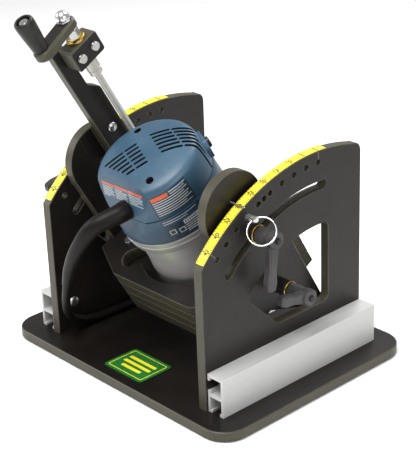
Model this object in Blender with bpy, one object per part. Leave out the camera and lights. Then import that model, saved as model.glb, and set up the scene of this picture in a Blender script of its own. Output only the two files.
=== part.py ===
# Tilting router lift on its insert plate.
# A router motor hangs in a laminated carriage, the carriage slides in a cradle that is raised by a
# crank and lead screw, and the cradle tilts 0 to 45 degrees between two quadrant side plates about a
# virtual axis near the plate's top face. All sizes below are in millimetres, converted by MM.
import bpy
import bmesh
import math
from mathutils import Matrix, Vector

MM = 0.001
GAP = 0.3                       # clearance kept between neighbouring solids

# insert plate
PLATE_X, PLATE_Y, PLATE_T, PLATE_R = 298.45, 234.95, 9.525, 24.0
# quadrant side plates
SIDE_IN, SIDE_OUT = 97.6, 107.1
SIDE_FRONT, SIDE_BACK, SIDE_FOOT = -98.2, 97.45, 9.825
PIVOT_Y, PIVOT_Z = 42.26, 24.92     # virtual tilt axis, along X
RIM_R, HOLE_R, SLOT_R, WINDOW_R = 183.1, 172.57, 151.0, 114.0
INDEX_ANGLES = (0, 5, 10, 15, 20, 22.5, 25, 30, 35, 40, 45)
TILT = 30.0                         # cradle angle as modelled
# cradle plates
CRADLE_IN, CRADLE_OUT, CRADLE_HALF, CRADLE_TOP = 84.0, 93.5, 33.7, 176.6
# carriage
LAYER_T, LAYER_Z0 = 12.7, 48.7
# lift screw
ROD_X, ROD_Y, ROD_R = -66.0, 34.5, 3.2
CRANK_ANGLE = 0.0

# ---------------------------------------------------------------- scene
for ob in list(bpy.data.objects):
    bpy.data.objects.remove(ob, do_unlink=True)


def material(name, rgb, rough, metal=0.0):
    m = bpy.data.materials.new(name)
    m.use_nodes = True
    b = m.node_tree.nodes["Principled BSDF"]
    b.inputs["Base Color"].default_value = (*rgb, 1.0)
    b.inputs["Roughness"].default_value = rough
    b.inputs["Metallic"].default_value = metal
    m.diffuse_color = (*rgb, 1.0)
    return m


PHENOLIC = material("black_phenolic", (0.026, 0.020, 0.018), 0.42)
PHENOLIC_EDGE = material("phenolic_olive", (0.060, 0.055, 0.040), 0.45)
ALU = material("anodised_aluminium", (0.62, 0.64, 0.67), 0.35, 0.9)
CAST = material("machined_aluminium", (0.50, 0.50, 0.49), 0.35, 0.95)
YELLOW = material("scale_yellow", (0.90, 0.80, 0.02), 0.45)
GREEN = material("badge_green", (0.02, 0.22, 0.05), 0.4)
BLUE = material("motor_blue", (0.045, 0.13, 0.23), 0.38)
BLUE_CAP = material("cap_blue", (0.07, 0.18, 0.28), 0.38)
BLACK = material("black_plastic", (0.015, 0.015, 0.016), 0.5)
RUBBER = material("cord_rubber", (0.02, 0.019, 0.019), 0.55)
LEVER = material("lever_grey", (0.035, 0.035, 0.037), 0.5)
STEEL = material("zinc_steel", (0.60, 0.60, 0.58), 0.32, 1.0)
CHROME = material("chrome", (0.75, 0.75, 0.75), 0.12, 1.0)
BRASS = material("brass", (0.62, 0.44, 0.12), 0.28, 1.0)
COPPER = material("winding_copper", (0.45, 0.17, 0.07), 0.4, 1.0)


# ---------------------------------------------------------------- geometry helpers
def empty(name, loc=(0, 0, 0), rot=(0, 0, 0), parent=None):
    e = bpy.data.objects.new(name, None)
    bpy.context.scene.collection.objects.link(e)
    e.location = [v * MM for v in loc]
    e.rotation_euler = rot
    e.parent = parent
    e.empty_display_size = 0.02
    return e


def make(name, bm, mat, parent=None, loc=(0, 0, 0), rot=(0, 0, 0), sharp=32.0):
    """Turn a bmesh in millimetres into a named object."""
    bmesh.ops.scale(bm, vec=(MM, MM, MM), verts=bm.verts)
    bmesh.ops.recalc_face_normals(bm, faces=bm.faces)
    me = bpy.data.meshes.new(name)
    bm.to_mesh(me)
    bm.free()
    me.materials.append(mat)
    me.shade_smooth()
    me.set_sharp_from_angle(angle=math.radians(sharp))
    ob = bpy.data.objects.new(name, me)
    bpy.context.scene.collection.objects.link(ob)
    ob.location = [v * MM for v in loc]
    ob.rotation_euler = rot
    ob.parent = parent
    return ob


def cutter(name, bm, parent=None, loc=(0, 0, 0), rot=(0, 0, 0)):
    ob = make(name, bm, BLACK, parent, loc, rot)
    ob.hide_render = True
    ob.display_type = 'WIRE'
    return ob


def boolean(ob, other, op='DIFFERENCE'):
    m = ob.modifiers.new(op.lower() + "_" + other.name, 'BOOLEAN')
    m.operation = op
    m.object = other
    m.solver = 'EXACT'
    return m


def area(pts):
    return 0.5 * sum(a[0] * b[1] - b[0] * a[1] for a, b in zip(pts, pts[1:] + pts[:1]))


def inset(pts, d):
    """Offset a closed loop to its left by d, with mitred corners."""
    out, n = [], len(pts)
    for i in range(n):
        a, b, c = Vector(pts[i - 1]), Vector(pts[i]), Vector(pts[(i + 1) % n])
        u, v = (b - a).normalized(), (c - b).normalized()
        nu, nv = Vector((-u.y, u.x)), Vector((-v.y, v.x))
        m = (nu + nv)
        m = m / max(m.length_squared, 1e-9) * 2.0 if m.length > 0.2 else nu
        out.append(tuple(b + m * d))
    return out


def slab(outer, holes, z0, z1, c=0.6, plain=()):
    """Closed plate between z0 and z1 from an outline and its holes. Edges are chamfered by c,
    except round the small holes listed in plain."""
    bm = bmesh.new()
    if area(outer) < 0:
        outer = outer[::-1]
    flip = [h[::-1] if area(h) > 0 else h for h in list(holes) + list(plain)]
    low_edges, high_edges = [], []
    for i_loop, loop in enumerate([outer] + flip):
        k = c if i_loop <= len(holes) else 0
        small = inset(loop, k) if k else loop
        rings = [(small, z0)] + ([(loop, z0 + k), (loop, z1 - k)] if k else []) + [(small, z1)]
        rows = [[bm.verts.new((x, y, z)) for x, y in pts] for pts, z in rings]
        n = len(loop)
        for a, b in zip(rows, rows[1:]):
            for i in range(n):
                bm.faces.new((a[i], a[(i + 1) % n], b[(i + 1) % n], b[i]))
        for row, keep in ((rows[0], low_edges), (rows[-1], high_edges)):
            for i in range(n):
                keep.append(bm.edges.get((row[i], row[(i + 1) % n])))
    for edges in (low_edges, high_edges):
        bmesh.ops.triangle_fill(bm, use_beauty=True, use_dissolve=False, edges=edges)
    return bm


def arc(cx, cy, r, a0, a1, n):
    """Points on an arc, angles in degrees counter-clockwise from +x."""
    return [(cx + r * math.cos(math.radians(a0 + (a1 - a0) * i / n)),
             cy + r * math.sin(math.radians(a0 + (a1 - a0) * i / n))) for i in range(n + 1)]


def circle(cx, cy, r, n=24):
    return arc(cx, cy, r, 0, 360, n)[:-1]


def round_rect(x0, y0, x1, y1, r, n=6):
    pts = []
    for cx, cy, a in ((x1 - r, y0 + r, -90), (x1 - r, y1 - r, 0), (x0 + r, y1 - r, 90), (x0 + r, y0 + r, 180)):
        pts += arc(cx, cy, r, a, a + 90, n)
    return pts


def fillet(pts, radii, n=5):
    """Round the corners of a polygon; radii holds one radius per corner."""
    out, m = [], len(pts)
    for i, r in enumerate(radii):
        a, b, c = Vector(pts[i - 1]), Vector(pts[i]), Vector(pts[(i + 1) % m])
        if r <= 0:
            out.append(tuple(b))
            continue
        u, v = (a - b).normalized(), (c - b).normalized()
        half = u.angle(v) / 2
        t = r / math.tan(half)
        centre = b + (u + v).normalized() * (r / math.sin(half))
        p, q = b + u * t, b + v * t
        a0 = math.atan2(p.y - centre.y, p.x - centre.x)
        a1 = math.atan2(q.y - centre.y, q.x - centre.x)
        d = (a1 - a0 + math.pi) % (2 * math.pi) - math.pi
        out += [(centre.x + r * math.cos(a0 + d * k / n), centre.y + r * math.sin(a0 + d * k / n)) for k in range(n + 1)]
    return out


def lathe(profile, n=24, bm=None, start=0.0):
    """Closed solid of revolution about Z. profile runs (r, z) and its ends lie on the axis or meet."""
    bm = bm or bmesh.new()
    rows = []
    for r, z in profile:
        if r < 1e-6:
            rows.append([bm.verts.new((0, 0, z))])
        else:
            rows.append([bm.verts.new((r * math.cos(start + 2 * math.pi * k / n),
                                       r * math.sin(start + 2 * math.pi * k / n), z)) for k in range(n)])
    pairs = list(zip(rows, rows[1:]))
    if len(rows[0]) > 1 and len(rows[-1]) > 1:
        pairs.append((rows[-1], rows[0]))
    for a, b in pairs:
        for k in range(n):
            j = (k + 1) % n
            if len(a) == 1 and len(b) == 1:
                break
            if len(a) == 1:
                bm.faces.new((a[0], b[j], b[k]))
            elif len(b) == 1:
                bm.faces.new((a[k], a[j], b[0]))
            else:
                bm.faces.new((a[k], a[j], b[j], b[k]))
    return bm


def disc(r, z0, z1, n=24, c=0.0, bm=None):
    if c:
        return lathe([(0, z0), (r - c, z0), (r, z0 + c), (r, z1 - c), (r - c, z1), (0, z1)], n, bm)
    return lathe([(0, z0), (r, z0), (r, z1), (0, z1)], n, bm)


def ring_solid(r0, r1, z0, z1, n=24, c=0.4):
    return lathe([(r0, z0), (r1 - c, z0), (r1, z0 + c), (r1, z1 - c), (r1 - c, z1), (r0, z1)], n)


def polar(angle, r):
    """Point of a quadrant plate (Y, Z) at radius r from the tilt axis, angle leaned towards -Y."""
    a = math.radians(angle)
    return (PIVOT_Y - r * math.sin(a), PIVOT_Z + r * math.cos(a))


def rot_x_out(sign):
    """Euler that turns local Z outwards along +X (sign 1) or -X (sign -1)."""
    return (0, math.radians(90) * sign, 0)


def aim(zdir, ydir):
    """Euler that turns local Z along zdir and keeps local Y near ydir."""
    z = Vector(zdir).normalized()
    x = Vector(ydir).cross(z).normalized()
    return Matrix((x, z.cross(x), z)).transposed().to_euler()


PLATE_ROT = (math.radians(90), 0, math.radians(90))     # local x, y, z become Y, Z, X

# ---------------------------------------------------------------- fixed frame
root = empty("base_frame")
hx, hy = PLATE_X / 2, PLATE_Y / 2
bit_opening = arc(0, 84.0, 16.0, 0, 180, 12) + arc(0, 26.0, 16.0, 180, 360, 12)
base_plate = make("base_plate",
                  slab(round_rect(-hx, -hy, hx, hy, PLATE_R, 8), [bit_opening], 0, PLATE_T, 0.8), PHENOLIC, root)

# quadrant outline: foot, straight back edge with a rounded corner, rim arc, straight front edge
rim_front = math.degrees(math.asin((PIVOT_Y - SIDE_FRONT) / RIM_R))      # lean angle where the rim meets the front edge
rim_back = -math.degrees(math.asin((SIDE_BACK - 9.0 - PIVOT_Y) / RIM_R))
z_corner = polar(rim_back, RIM_R)[1]
side_outline = [(SIDE_FRONT, SIDE_FOOT), (SIDE_BACK, SIDE_FOOT)]
side_outline += [(SIDE_BACK, z_corner - 8.0), (SIDE_BACK - 0.9, z_corner - 4.6), (SIDE_BACK - 3.0, z_corner - 1.8), (SIDE_BACK - 5.8, z_corner - 0.3)]
side_outline += [polar(rim_back + (rim_front - rim_back) * i / 36, RIM_R) for i in range(37)]
index_holes = [circle(*polar(a, HOLE_R), 3.0, 12) for a in INDEX_ANGLES]
slot_a0, slot_a1 = -2.3, 46.7


def slot_outline(half):
    """Curved slot of that half width, concentric with the tilt axis."""
    out = [polar(slot_a0 + (slot_a1 - slot_a0) * i / 14, SLOT_R + half) for i in range(15)]
    ey, ez = polar(slot_a1, SLOT_R)
    out += arc(ey, ez, half, 90 + slot_a1, 270 + slot_a1, 6)[1:-1]
    out += [polar(slot_a1 + (slot_a0 - slot_a1) * i / 14, SLOT_R - half) for i in range(15)]
    ey, ez = polar(slot_a0, SLOT_R)
    return out + arc(ey, ez, half, 270 + slot_a0, 450 + slot_a0, 6)[1:-1]


slot = slot_outline(2.75)
w_top_r = math.degrees(math.asin(-(55.0 - PIVOT_Y) / WINDOW_R))
y_l, z_l = -45.0, 96.5
w_top_l = math.degrees(math.atan2(PIVOT_Y - y_l, z_l - PIVOT_Z))
window = [(-10.0, 61.5), (55.0, 61.5), (55.0, polar(w_top_r, WINDOW_R)[1])]
window += [polar(w_top_r + (w_top_l - w_top_r) * i / 16, WINDOW_R) for i in range(1, 16)]
window += [(y_l, z_l)]
window = fillet(window, [5.0, 6.0, 6.0] + [0] * 15 + [5.0])
for side, sign in (("right", 1), ("left", -1)):
    screw_holes = [circle(y, 37.0, 2.9, 12) for y in (-79.5, 79.5)] + [circle(y, 17.8, 2.4, 10) for y in (-78.6, 78.6)]
    bm = slab(side_outline, [slot, window], 0, SIDE_OUT - SIDE_IN, 0.6, index_holes + screw_holes)
    side_plate = make("side_plate_" + side, bm, PHENOLIC, root, (SIDE_IN if sign > 0 else -SIDE_OUT, 0, 0), PLATE_ROT)
    # the slot is stepped: a shallow wide groove in the right faces of both plates, and a narrow slot for the stud
    step = cutter("slot_step_" + side, slab(slot_outline(4.4), [], 7.4, 12.0, 0), root, (SIDE_IN if sign > 0 else -SIDE_OUT, 0, 0), PLATE_ROT)
    boolean(side_plate, step)
    for flat_ob in (side_plate, step):
        for poly in flat_ob.data.polygons:
            poly.use_smooth = False
    # yellow angle scale laid over the rim edge
    tape = [polar(-3.1 + 51.7 * i / 30, RIM_R + 0.3) for i in range(31)] + [polar(48.6 - 51.7 * i / 30, RIM_R + 0.75) for i in range(31)]
    make("angle_scale_" + side, slab(tape, [], 0.1, SIDE_OUT - SIDE_IN - 0.1, 0), YELLOW, root,
         (SIDE_IN if sign > 0 else -SIDE_OUT, 0, 0), PLATE_ROT)
    # extruded rail along the foot: two channels, the upper one a T slot open towards the plate
    x0, x1 = 0.0, 18.4
    rail = [(0, 0), (2.6, 0), (2.6, 5.0), (2.6, 2.6), (15.8, 2.6)]
    rail = [(0, 0), (4.2, 0), (4.2, 2.4), (2.4, 2.4), (2.4, 15.2), (16.0, 15.2), (16.0, 2.4), (14.0, 2.4), (14.0, 0),
            (18.4, 0), (18.4, 36.5), (0, 36.5), (0, 30.6), (2.4, 30.6), (2.4, 33.9), (16.0, 33.9), (16.0, 17.6),
            (2.4, 17.6), (2.4, 20.9), (0, 20.9)]
    if sign < 0:
        rail = [(18.4 - x, z) for x, z in rail]
    bm = slab(rail, [], 0, 192.8, 0)
    make("rail_" + side, bm, ALU, root, ((SIDE_OUT + GAP) if sign > 0 else -(SIDE_OUT + GAP + 18.4), 96.8, PLATE_T + GAP),
         (math.radians(90), 0, 0))
    for where, y in (("front", -79.5), ("rear", 79.5)):
        # truss head screw through the plate into a nut held in the rail's T slot
        prof = [(0, -2.3), (2.6, -2.25), (4.4, -1.6), (5.6, 0), (2.6, 0.0), (2.6, 13.2), (5.7, 13.2), (5.7, 17.2), (2.6, 17.2), (2.6, 21.0), (0, 21.0)]
        make("plate_screw_%s_%s" % (side, where), lathe(prof, 20), STEEL, root,
             ((SIDE_IN - GAP) * sign, y, 37.0), rot_x_out(sign))

make("badge", slab(round_rect(-25.5, -19.3, 25.5, 19.3, 3.0, 3), [], 0, 0.5, 0), GREEN, root, (3.0, -86.7, PLATE_T + GAP))

# ---------------------------------------------------------------- tilting cradle
cradle = empty("cradle_axis", (0, PIVOT_Y, PIVOT_Z), (math.radians(TILT), 0, 0), root)
top_arc = arc(0, CRADLE_TOP, CRADLE_HALF, 0, 180, 28)
cradle_outline = [(CRADLE_HALF, 6.5)] + top_arc + [(-CRADLE_HALF, 73.7)]
lock_slot = arc(0, 108.0, 4.2, 0, 180, 8) + arc(0, 50.0, 4.2, 180, 360, 8)
for side, sign in (("right", 1), ("left", -1)):
    bm = slab(cradle_outline, [lock_slot], 0, CRADLE_OUT - CRADLE_IN, 0.6, [circle(0, HOLE_R, 3.0, 12), circle(0, SLOT_R, 2.8, 12)])
    plate = make("cradle_plate_" + side, bm, PHENOLIC_EDGE, cradle, (CRADLE_IN if sign > 0 else -CRADLE_OUT, 0, 0), PLATE_ROT)
    groove = slab([(-7.5, 0.0), (9.2, 0.0), (9.2, 208.2), (-7.5, 208.2)], [], -1.0, 3.6, 0)
    g = cutter("groove_cutter_" + side, groove, cradle, ((CRADLE_IN if sign > 0 else -CRADLE_IN - 2.6), 0, 0), PLATE_ROT)
    boolean(plate, g)

# tie bar that joins the two cradle plates under the carriage
make("cradle_bar", slab([(20.5, 20.4), (33.2, 20.4), (33.2, 28.2), (20.5, 28.2)], [], 0, 2 * (CRADLE_IN - GAP), 0.6), PHENOLIC_EDGE, cradle, (-(CRADLE_IN - GAP), 0, 0), PLATE_ROT)

# lift post fixed to the left cradle plate
post = fillet([(9.5, 142.0), (34.8, 142.0), (34.8, 240.0), (24.8, 251.0), (24.8, 298.0), (9.5, 298.0)], [2, 2, 7, 1.5, 0.5, 2], 4)
make("lift_post", slab(post, [circle(22.5, 198.5, 2.6, 12)], 0, 9.2, 0.6), PHENOLIC, cradle,
     (-CRADLE_IN + GAP, 0, 0), PLATE_ROT)
for name, z in (("post_screw", 198.5),):
    make(name, lathe([(0, 0.0), (2.2, 0.0), (2.2, 9.3), (4.6, 9.3), (4.3, 11.0), (2.5, 12.0), (0, 12.2)], 16), STEEL, cradle,
         (-CRADLE_IN + GAP, 22.5, z), rot_x_out(1))

# lift block carries the screw's thrust bearing
block = slab(fillet([(17.2, 277.0), (49.8, 277.0), (49.8, 298.5), (17.2, 298.5)], [2.5] * 4, 3),
             [circle(24.7, 287.6, 2.5, 12), circle(41.2, 287.6, 2.5, 12)], 0, 18.2, 0.8)
lift_block = make("lift_block", block, PHENOLIC, cradle, (-CRADLE_IN + GAP + 9.2 + GAP, 0, 0), PLATE_ROT)
boolean(lift_block, cutter("block_bore", disc(4.2, -30, 30, 24), cradle, (ROD_X, ROD_Y, 287.0)))
for name, y in (("block_screw_inner", 24.7), ("block_screw_outer", 41.2)):
    make(name, lathe([(0, 0.0), (2.2, 0.0), (2.2, 18.6), (4.2, 18.6), (4.2, 20.8), (3.8, 21.2), (0, 21.2)], 16), STEEL, cradle,
         (-CRADLE_IN + GAP + 9.2 + GAP, y, 287.6), rot_x_out(1))

# wire pointer standing out of the right cradle plate over the angle scale
make("scale_pointer", lathe([(0, -6.0), (0.8, -5.6), (0.8, 10.6), (0, 11.6)], 10), STEEL, cradle, (CRADLE_OUT + 6.5, 0, 185.9), rot_x_out(1))
cradle_pointer = bpy.data.objects["cradle_plate_right"]
boolean(cradle_pointer, cutter("pointer_bore", disc(1.1, -8.0, 8.0, 10), cradle, (CRADLE_OUT, 0, 185.9), rot_x_out(1)))


# ---------------------------------------------------------------- clamp levers
def clamp_lever(name, parent, loc, sign, lean, hub_len, arm_len, stud_in, hub_r=8.0, stud_r=3.6):
    """Adjustable clamp lever. Its axis runs outwards along X; the arm hangs from the hub's outer end.
    lean is the arm's angle from straight down (cradle -z') turned towards -y'."""
    frame = empty(name + "_axis", loc, (0, 0, 0), parent)
    hub = lathe([(0, -stud_in), (stud_r, -stud_in), (stud_r, 0.4), (hub_r - 0.8, 0.4), (hub_r, 1.2), (hub_r - 0.6, hub_len - 9.0),
                 (hub_r + 0.4, hub_len - 6.5), (hub_r + 0.4, hub_len - 1.2), (hub_r - 0.8, hub_len), (0, hub_len)], 20)
    lever = make(name, hub, LEVER, frame, (0, 0, 0), rot_x_out(sign))
    w0, w1 = hub_r - 1.2, 5.7
    arm = [(0, w0), (-arm_len * 0.55, 4.4), (-arm_len + w1 * 1.4, w1), (-arm_len + 1.2, w1 - 1.4), (-arm_len, w1 - 3.4)]
    arm = arm + [(x, -y) for x, y in arm[::-1]] + [(w0 * 0.5, -w0 * 0.5), (w0 * 0.5, w0 * 0.5)]
    bm = slab(arm, [], hub_len - 10.6, hub_len - 2.2, 1.6)
    a = make(name + "_arm_tool", bm, LEVER, frame, (0, 0, 0), (0, 0, 0))
    a.hide_render = True
    a.display_type = 'WIRE'
    # local x of the arm is the arm's backward direction; aim -x along (sin lean towards -y', -cos lean)
    d = Vector((0, math.sin(math.radians(lean)), math.cos(math.radians(lean))))
    zz = Vector((sign, 0, 0))
    yy = zz.cross(d)
    a.rotation_euler = Matrix((d, yy, zz)).transposed().to_euler()
    boolean(lever, a, 'UNION')
    screw = make(name + "_screw", lathe([(0, hub_len + 0.3), (2.9, hub_len + 0.3), (2.9, hub_len + 1.5), (2.4, hub_len + 2.0), (0, hub_len + 2.0)], 14),
                 STEEL, frame, (0, 0, 0), rot_x_out(sign))
    return frame


for side, sign in (("right", 1), ("left", -1)):
    bm = ring_solid(2.8, 8.2, 0, 1.8, 24, 0.4)
    make("tilt_washer_" + side, bm, BRASS, cradle, ((SIDE_OUT + GAP) * sign, 0, SLOT_R), rot_x_out(sign))
    clamp_lever("tilt_lever_" + side, cradle, ((SIDE_OUT + 2.2) * sign, 0, SLOT_R), sign, 35.0 if sign > 0 else 108.0, 22.2, 47.5, 24.0, 7.6, 2.4)

# ---------------------------------------------------------------- router carriage
lift = empty("lift_axis", (0, 0, 0), (0, 0, 0), cradle)
wide, mid, chx, chy, fy, by = 88.0, 83.6, 51.0, -47.5, -67.0, 48.0
layer_outline = [(-chx, fy), (chx, fy), (wide, chy), (wide, -34.3), (mid, -34.3), (mid, by), (-mid, by), (-mid, -34.3), (-wide, -34.3), (-wide, chy)]


def opening(r):
    """Round opening with an ear towards the front left corner."""
    a = math.degrees(math.atan2(-45.0, -46.0))
    ear = Vector((math.cos(math.radians(a)), math.sin(math.radians(a))))
    centre = ear * 64.0
    er = 10.5
    side_ = Vector((-ear.y, ear.x))
    half = math.degrees(math.asin(er / r))
    pts = arc(0, 0, r, a + half, a + 360 - half, 36)
    c = centre
    pts += arc(c.x, c.y, er, a - 90, a + 90, 8)
    return pts


nut_hole = circle(ROD_X, ROD_Y, 7.0, 16)
for i in range(4):
    z0 = LAYER_Z0 + i * (LAYER_T) + (GAP / 2 if i else 0)
    z1 = LAYER_Z0 + (i + 1) * LAYER_T - (GAP / 2 if i < 3 else 0)
    hole = opening(56.0) if i == 3 else (circle(0, 0, 47.6, 40) if i in (1, 2) else circle(0, 0, 36.0, 32))
    make("carriage_layer_%d" % (i + 1), slab(layer_outline, [hole, nut_hole], z0, z1, 0.5), PHENOLIC, lift)
make("lift_nut", slab(circle(0, 0, 6.7, 16), [circle(0, 0, ROD_R + 0.3, 12)], 60.0, 98.0, 0.3), BRASS, lift, (ROD_X, ROD_Y, 0))
make("clamp_boss", lathe([(0, 99.8), (4.6, 99.8), (4.6, 103.4), (4.0, 104.0), (2.0, 104.0), (2.0, 102.0), (0, 102.0)], 16), STEEL, lift, (-62.0, -31.0, 0))

# height lock: threaded spacer, washer and clamp lever through the slot in the right cradle plate
make("lock_spacer", ring_solid(4.0, 7.4, 0, 12.6, 24, 0.6), BLACK, lift, (CRADLE_OUT + GAP, 0, 74.0), rot_x_out(1))
make("lock_washer", ring_solid(4.0, 7.9, 0, 1.6, 24, 0.4), BRASS, lift, (CRADLE_OUT + GAP + 12.6 + GAP, 0, 74.0), rot_x_out(1))
clamp_lever("lock_lever", lift, (CRADLE_OUT + GAP + 12.6 + GAP + 1.9, 0, 74.0), 1, 131.0, 24.5, 33.0, 24.0, 7.4)

# ---------------------------------------------------------------- router
# cast base: bored sleeve that the motor slides in, with a flared clamp ring at its top
sleeve = lathe([(44.0, 62.0), (44.0, 133.0), (47.9, 135.0), (47.9, 149.7), (51.2, 149.7), (51.7, 149.0), (50.2, 137.0), (49.0, 135.6), (45.8, 134.0), (45.4, 113.0),
                (47.0, 97.0), (47.2, 62.0)], 32)
make("router_base", sleeve, CAST, lift)

# motor can, a sleeve of turned aluminium that slides in the base and seats the lower bearing
make("motor_can", lathe([(9.5, 64.0), (43.6, 64.0), (43.6, 149.6), (38.0, 149.6), (38.0, 76.0), (9.5, 76.0)], 32), CAST, lift)

# motor shell: slightly flared drum closed by its cap, with a slanted flat at the front for the cord
drum = lathe([(37.5, 150.0), (37.5, 176.7), (50.3, 176.7), (50.6, 176.0), (51.3, 162.0), (52.0, 151.0), (51.4, 150.0)], 40)
motor_housing = make("motor_housing", drum, BLUE, lift)
cap = lathe([(0, 197.5), (31.0, 197.5), (35.4, 194.0), (35.4, 177.0), (50.3, 177.0), (50.2, 184.0), (49.2, 196.0), (48.2, 203.0), (46.8, 206.2), (42.5, 208.9), (34.0, 211.0),
             (20.0, 212.9), (0, 213.8)], 40)
motor_cap = make("motor_cap", cap, BLUE_CAP, lift)
slope = math.atan2(10.5, 28.0)
flat_cut = bmesh.new()
bmesh.ops.create_cube(flat_cut, size=1.0, matrix=Matrix.Translation((0, -15.0, -15.0)) @ Matrix.Diagonal((90, 30, 90, 1)))
flat_cutter = cutter("flat_cutter", flat_cut, lift, (0, -34.0, 205.0), (-slope, 0, 0))
boolean(motor_cap, flat_cutter)
boolean(motor_housing, flat_cutter)
# raised brush holder at the back right, with its screw cap
BRUSH_A = math.radians(66.0)
bx, by_ = math.cos(BRUSH_A), math.sin(BRUSH_A)
boss = slab([(-13.0, 177.3), (13.0, 177.3), (13.0, 188.0), (8.5, 194.0), (-8.5, 194.0), (-13.0, 188.0)], [], 40.0, 52.2, 1.5)
boolean(motor_cap, cutter("brush_boss_tool", boss, lift, (0, 0, 0), aim((bx, by_, 0), (0, 0, 1))), 'UNION')
make("brush_cap", lathe([(0, 0), (5.4, 0), (5.4, 2.2), (4.6, 3.0), (0, 3.0)], 16), BLACK, lift, (bx * 52.5, by_ * 52.5, 184.5), aim((bx, by_, 0), (0, 0, 1)))
# field winding, and the spindle with its armature and fan
make("motor_field", ring_solid(27.5, 35.0, 152.0, 192.0, 28, 0.5), COPPER, lift)
spindle_axis = empty("spindle_axis", (0, 0, 0), (0, 0, 0), lift)
make("spindle", lathe([(0, 36.0), (8.0, 36.0), (8.0, 112.0), (10.0, 112.0), (10.0, 124.0), (35.0, 124.0), (35.0, 132.0), (12.0, 132.0), (12.0, 154.0), (26.8, 154.0), (26.8, 190.0),
                       (8.0, 190.0), (8.0, 196.5), (0, 196.5)], 18), STEEL, spindle_axis)
make("collet_nut", slab(circle(0, 0, 13.0, 6), [circle(0, 0, 6.4, 16)], 12.5, 35.7, 0.8), STEEL, spindle_axis)

# ---------------------------------------------------------------- crank and lead screw
crank = empty("crank_axis", (ROD_X, ROD_Y, 0), (0, 0, 0), cradle)
make("lift_screw", lathe([(0, 44.0), (2.4, 44.0), (ROD_R, 45.0), (ROD_R, 258.5), (5.6, 258.8), (6.2, 259.4), (6.2, 264.2), (5.6, 264.8), (4.6, 265.0), (6.6, 265.3), (6.6, 276.4), (3.9, 276.7),
                          (3.9, 320.8), (0, 320.8)], 20), STEEL, crank)
make("crank_washer", ring_solid(4.2, 8.6, 298.8, 301.2, 24, 0.4), BRASS, crank)
make("crank_nut", slab(circle(0, 0, 6.8, 6), [circle(0, 0, 4.2, 12)], 301.5, 311.2, 0.5), STEEL, crank)
gx, gy = 5.0, -35.0
ca = math.degrees(math.atan2(gy, gx))
ar = 8.3
arm = arc(0, 0, ar, ca + 90, ca + 270, 14) + arc(gx, gy, ar, ca - 90, ca + 90, 14)
make("crank_arm", slab(arm, [circle(0, 0, 4.2, 12), circle(gx, gy, 2.6, 12)], 311.5, 320.7, 1.7), PHENOLIC_EDGE, crank)
make("acorn_nut", lathe([(0, 321.1), (6.9, 321.1), (6.9, 322.0), (5.7, 322.6), (6.3, 324.4), (6.2, 326.0), (5.4, 328.1), (3.6, 329.7), (1.8, 330.4), (0, 330.6)], 20), CHROME, crank)
grip_axis = empty("grip_axis", (gx, gy, 0), (0, 0, 0), crank)
make("grip_bolt", lathe([(0, 311.7), (2.3, 311.7), (2.3, 349.0), (4.6, 349.0), (4.6, 351.6), (3.6, 352.4), (0, 352.4)], 16), STEEL, crank, (gx, gy, 0))
make("crank_grip", lathe([(2.7, 321.1), (6.6, 321.1), (7.2, 322.6), (7.6, 328.0), (8.3, 336.0), (8.9, 345.0), (9.0, 350.4), (8.6, 352.6), (7.6, 353.6), (6.4, 353.6), (6.0, 352.9), (6.0, 348.6), (2.7, 348.6)], 24),
     BLACK, grip_axis)

# ---------------------------------------------------------------- index pin and its pull ring
PIN_Y, PIN_Z = polar(TILT, HOLE_R)
PIN_END, RING_R, WIRE_R = 118.2, 12.3, 1.15
pin_axis = empty("index_pin_axis", (0, PIN_Y, PIN_Z), (0, 0, 0), root)
# the ring hangs from the pin's cross hole and rests against the clamp lever's hub
hang = Vector((0.763, -0.084, -0.641)).normalized()
face = Vector((0.464, -0.618, 0.634))
face = (face - hang * face.dot(hang)).normalized()
tang = face.cross(hang)
EYE_X = 115.2
pin = make("index_pin", lathe([(0, 94.0), (2.0, 94.0), (2.8, 95.2), (2.8, PIN_END - 1.0), (2.0, PIN_END), (0, PIN_END)], 20), CHROME, pin_axis, (0, 0, 0), rot_x_out(1))
boolean(pin, cutter("eye_cutter", disc(1.75, -8, 8, 14), pin_axis, (EYE_X, 0, 0), aim(tang, hang)))
ring_axis = empty("pin_ring_axis", (EYE_X, 0, 0), (0, 0, 0), pin_axis)
bm = bmesh.new()
rows = []
for i in range(30):
    a = 2 * math.pi * i / 30
    mid_p = hang * RING_R + (hang * math.cos(a) + tang * math.sin(a)) * RING_R
    rad = (hang * math.cos(a) + tang * math.sin(a))
    rows.append([bm.verts.new(mid_p + (rad * math.cos(2 * math.pi * k / 8) + face * math.sin(2 * math.pi * k / 8)) * WIRE_R) for k in range(8)])
for i in range(30):
    for k in range(8):
        bm.faces.new((rows[i][k], rows[i][(k + 1) % 8], rows[(i + 1) % 30][(k + 1) % 8], rows[(i + 1) % 30][k]))
make("pin_ring", bm, CHROME, ring_axis)

# ---------------------------------------------------------------- cord
CORD_R = 4.0


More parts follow.
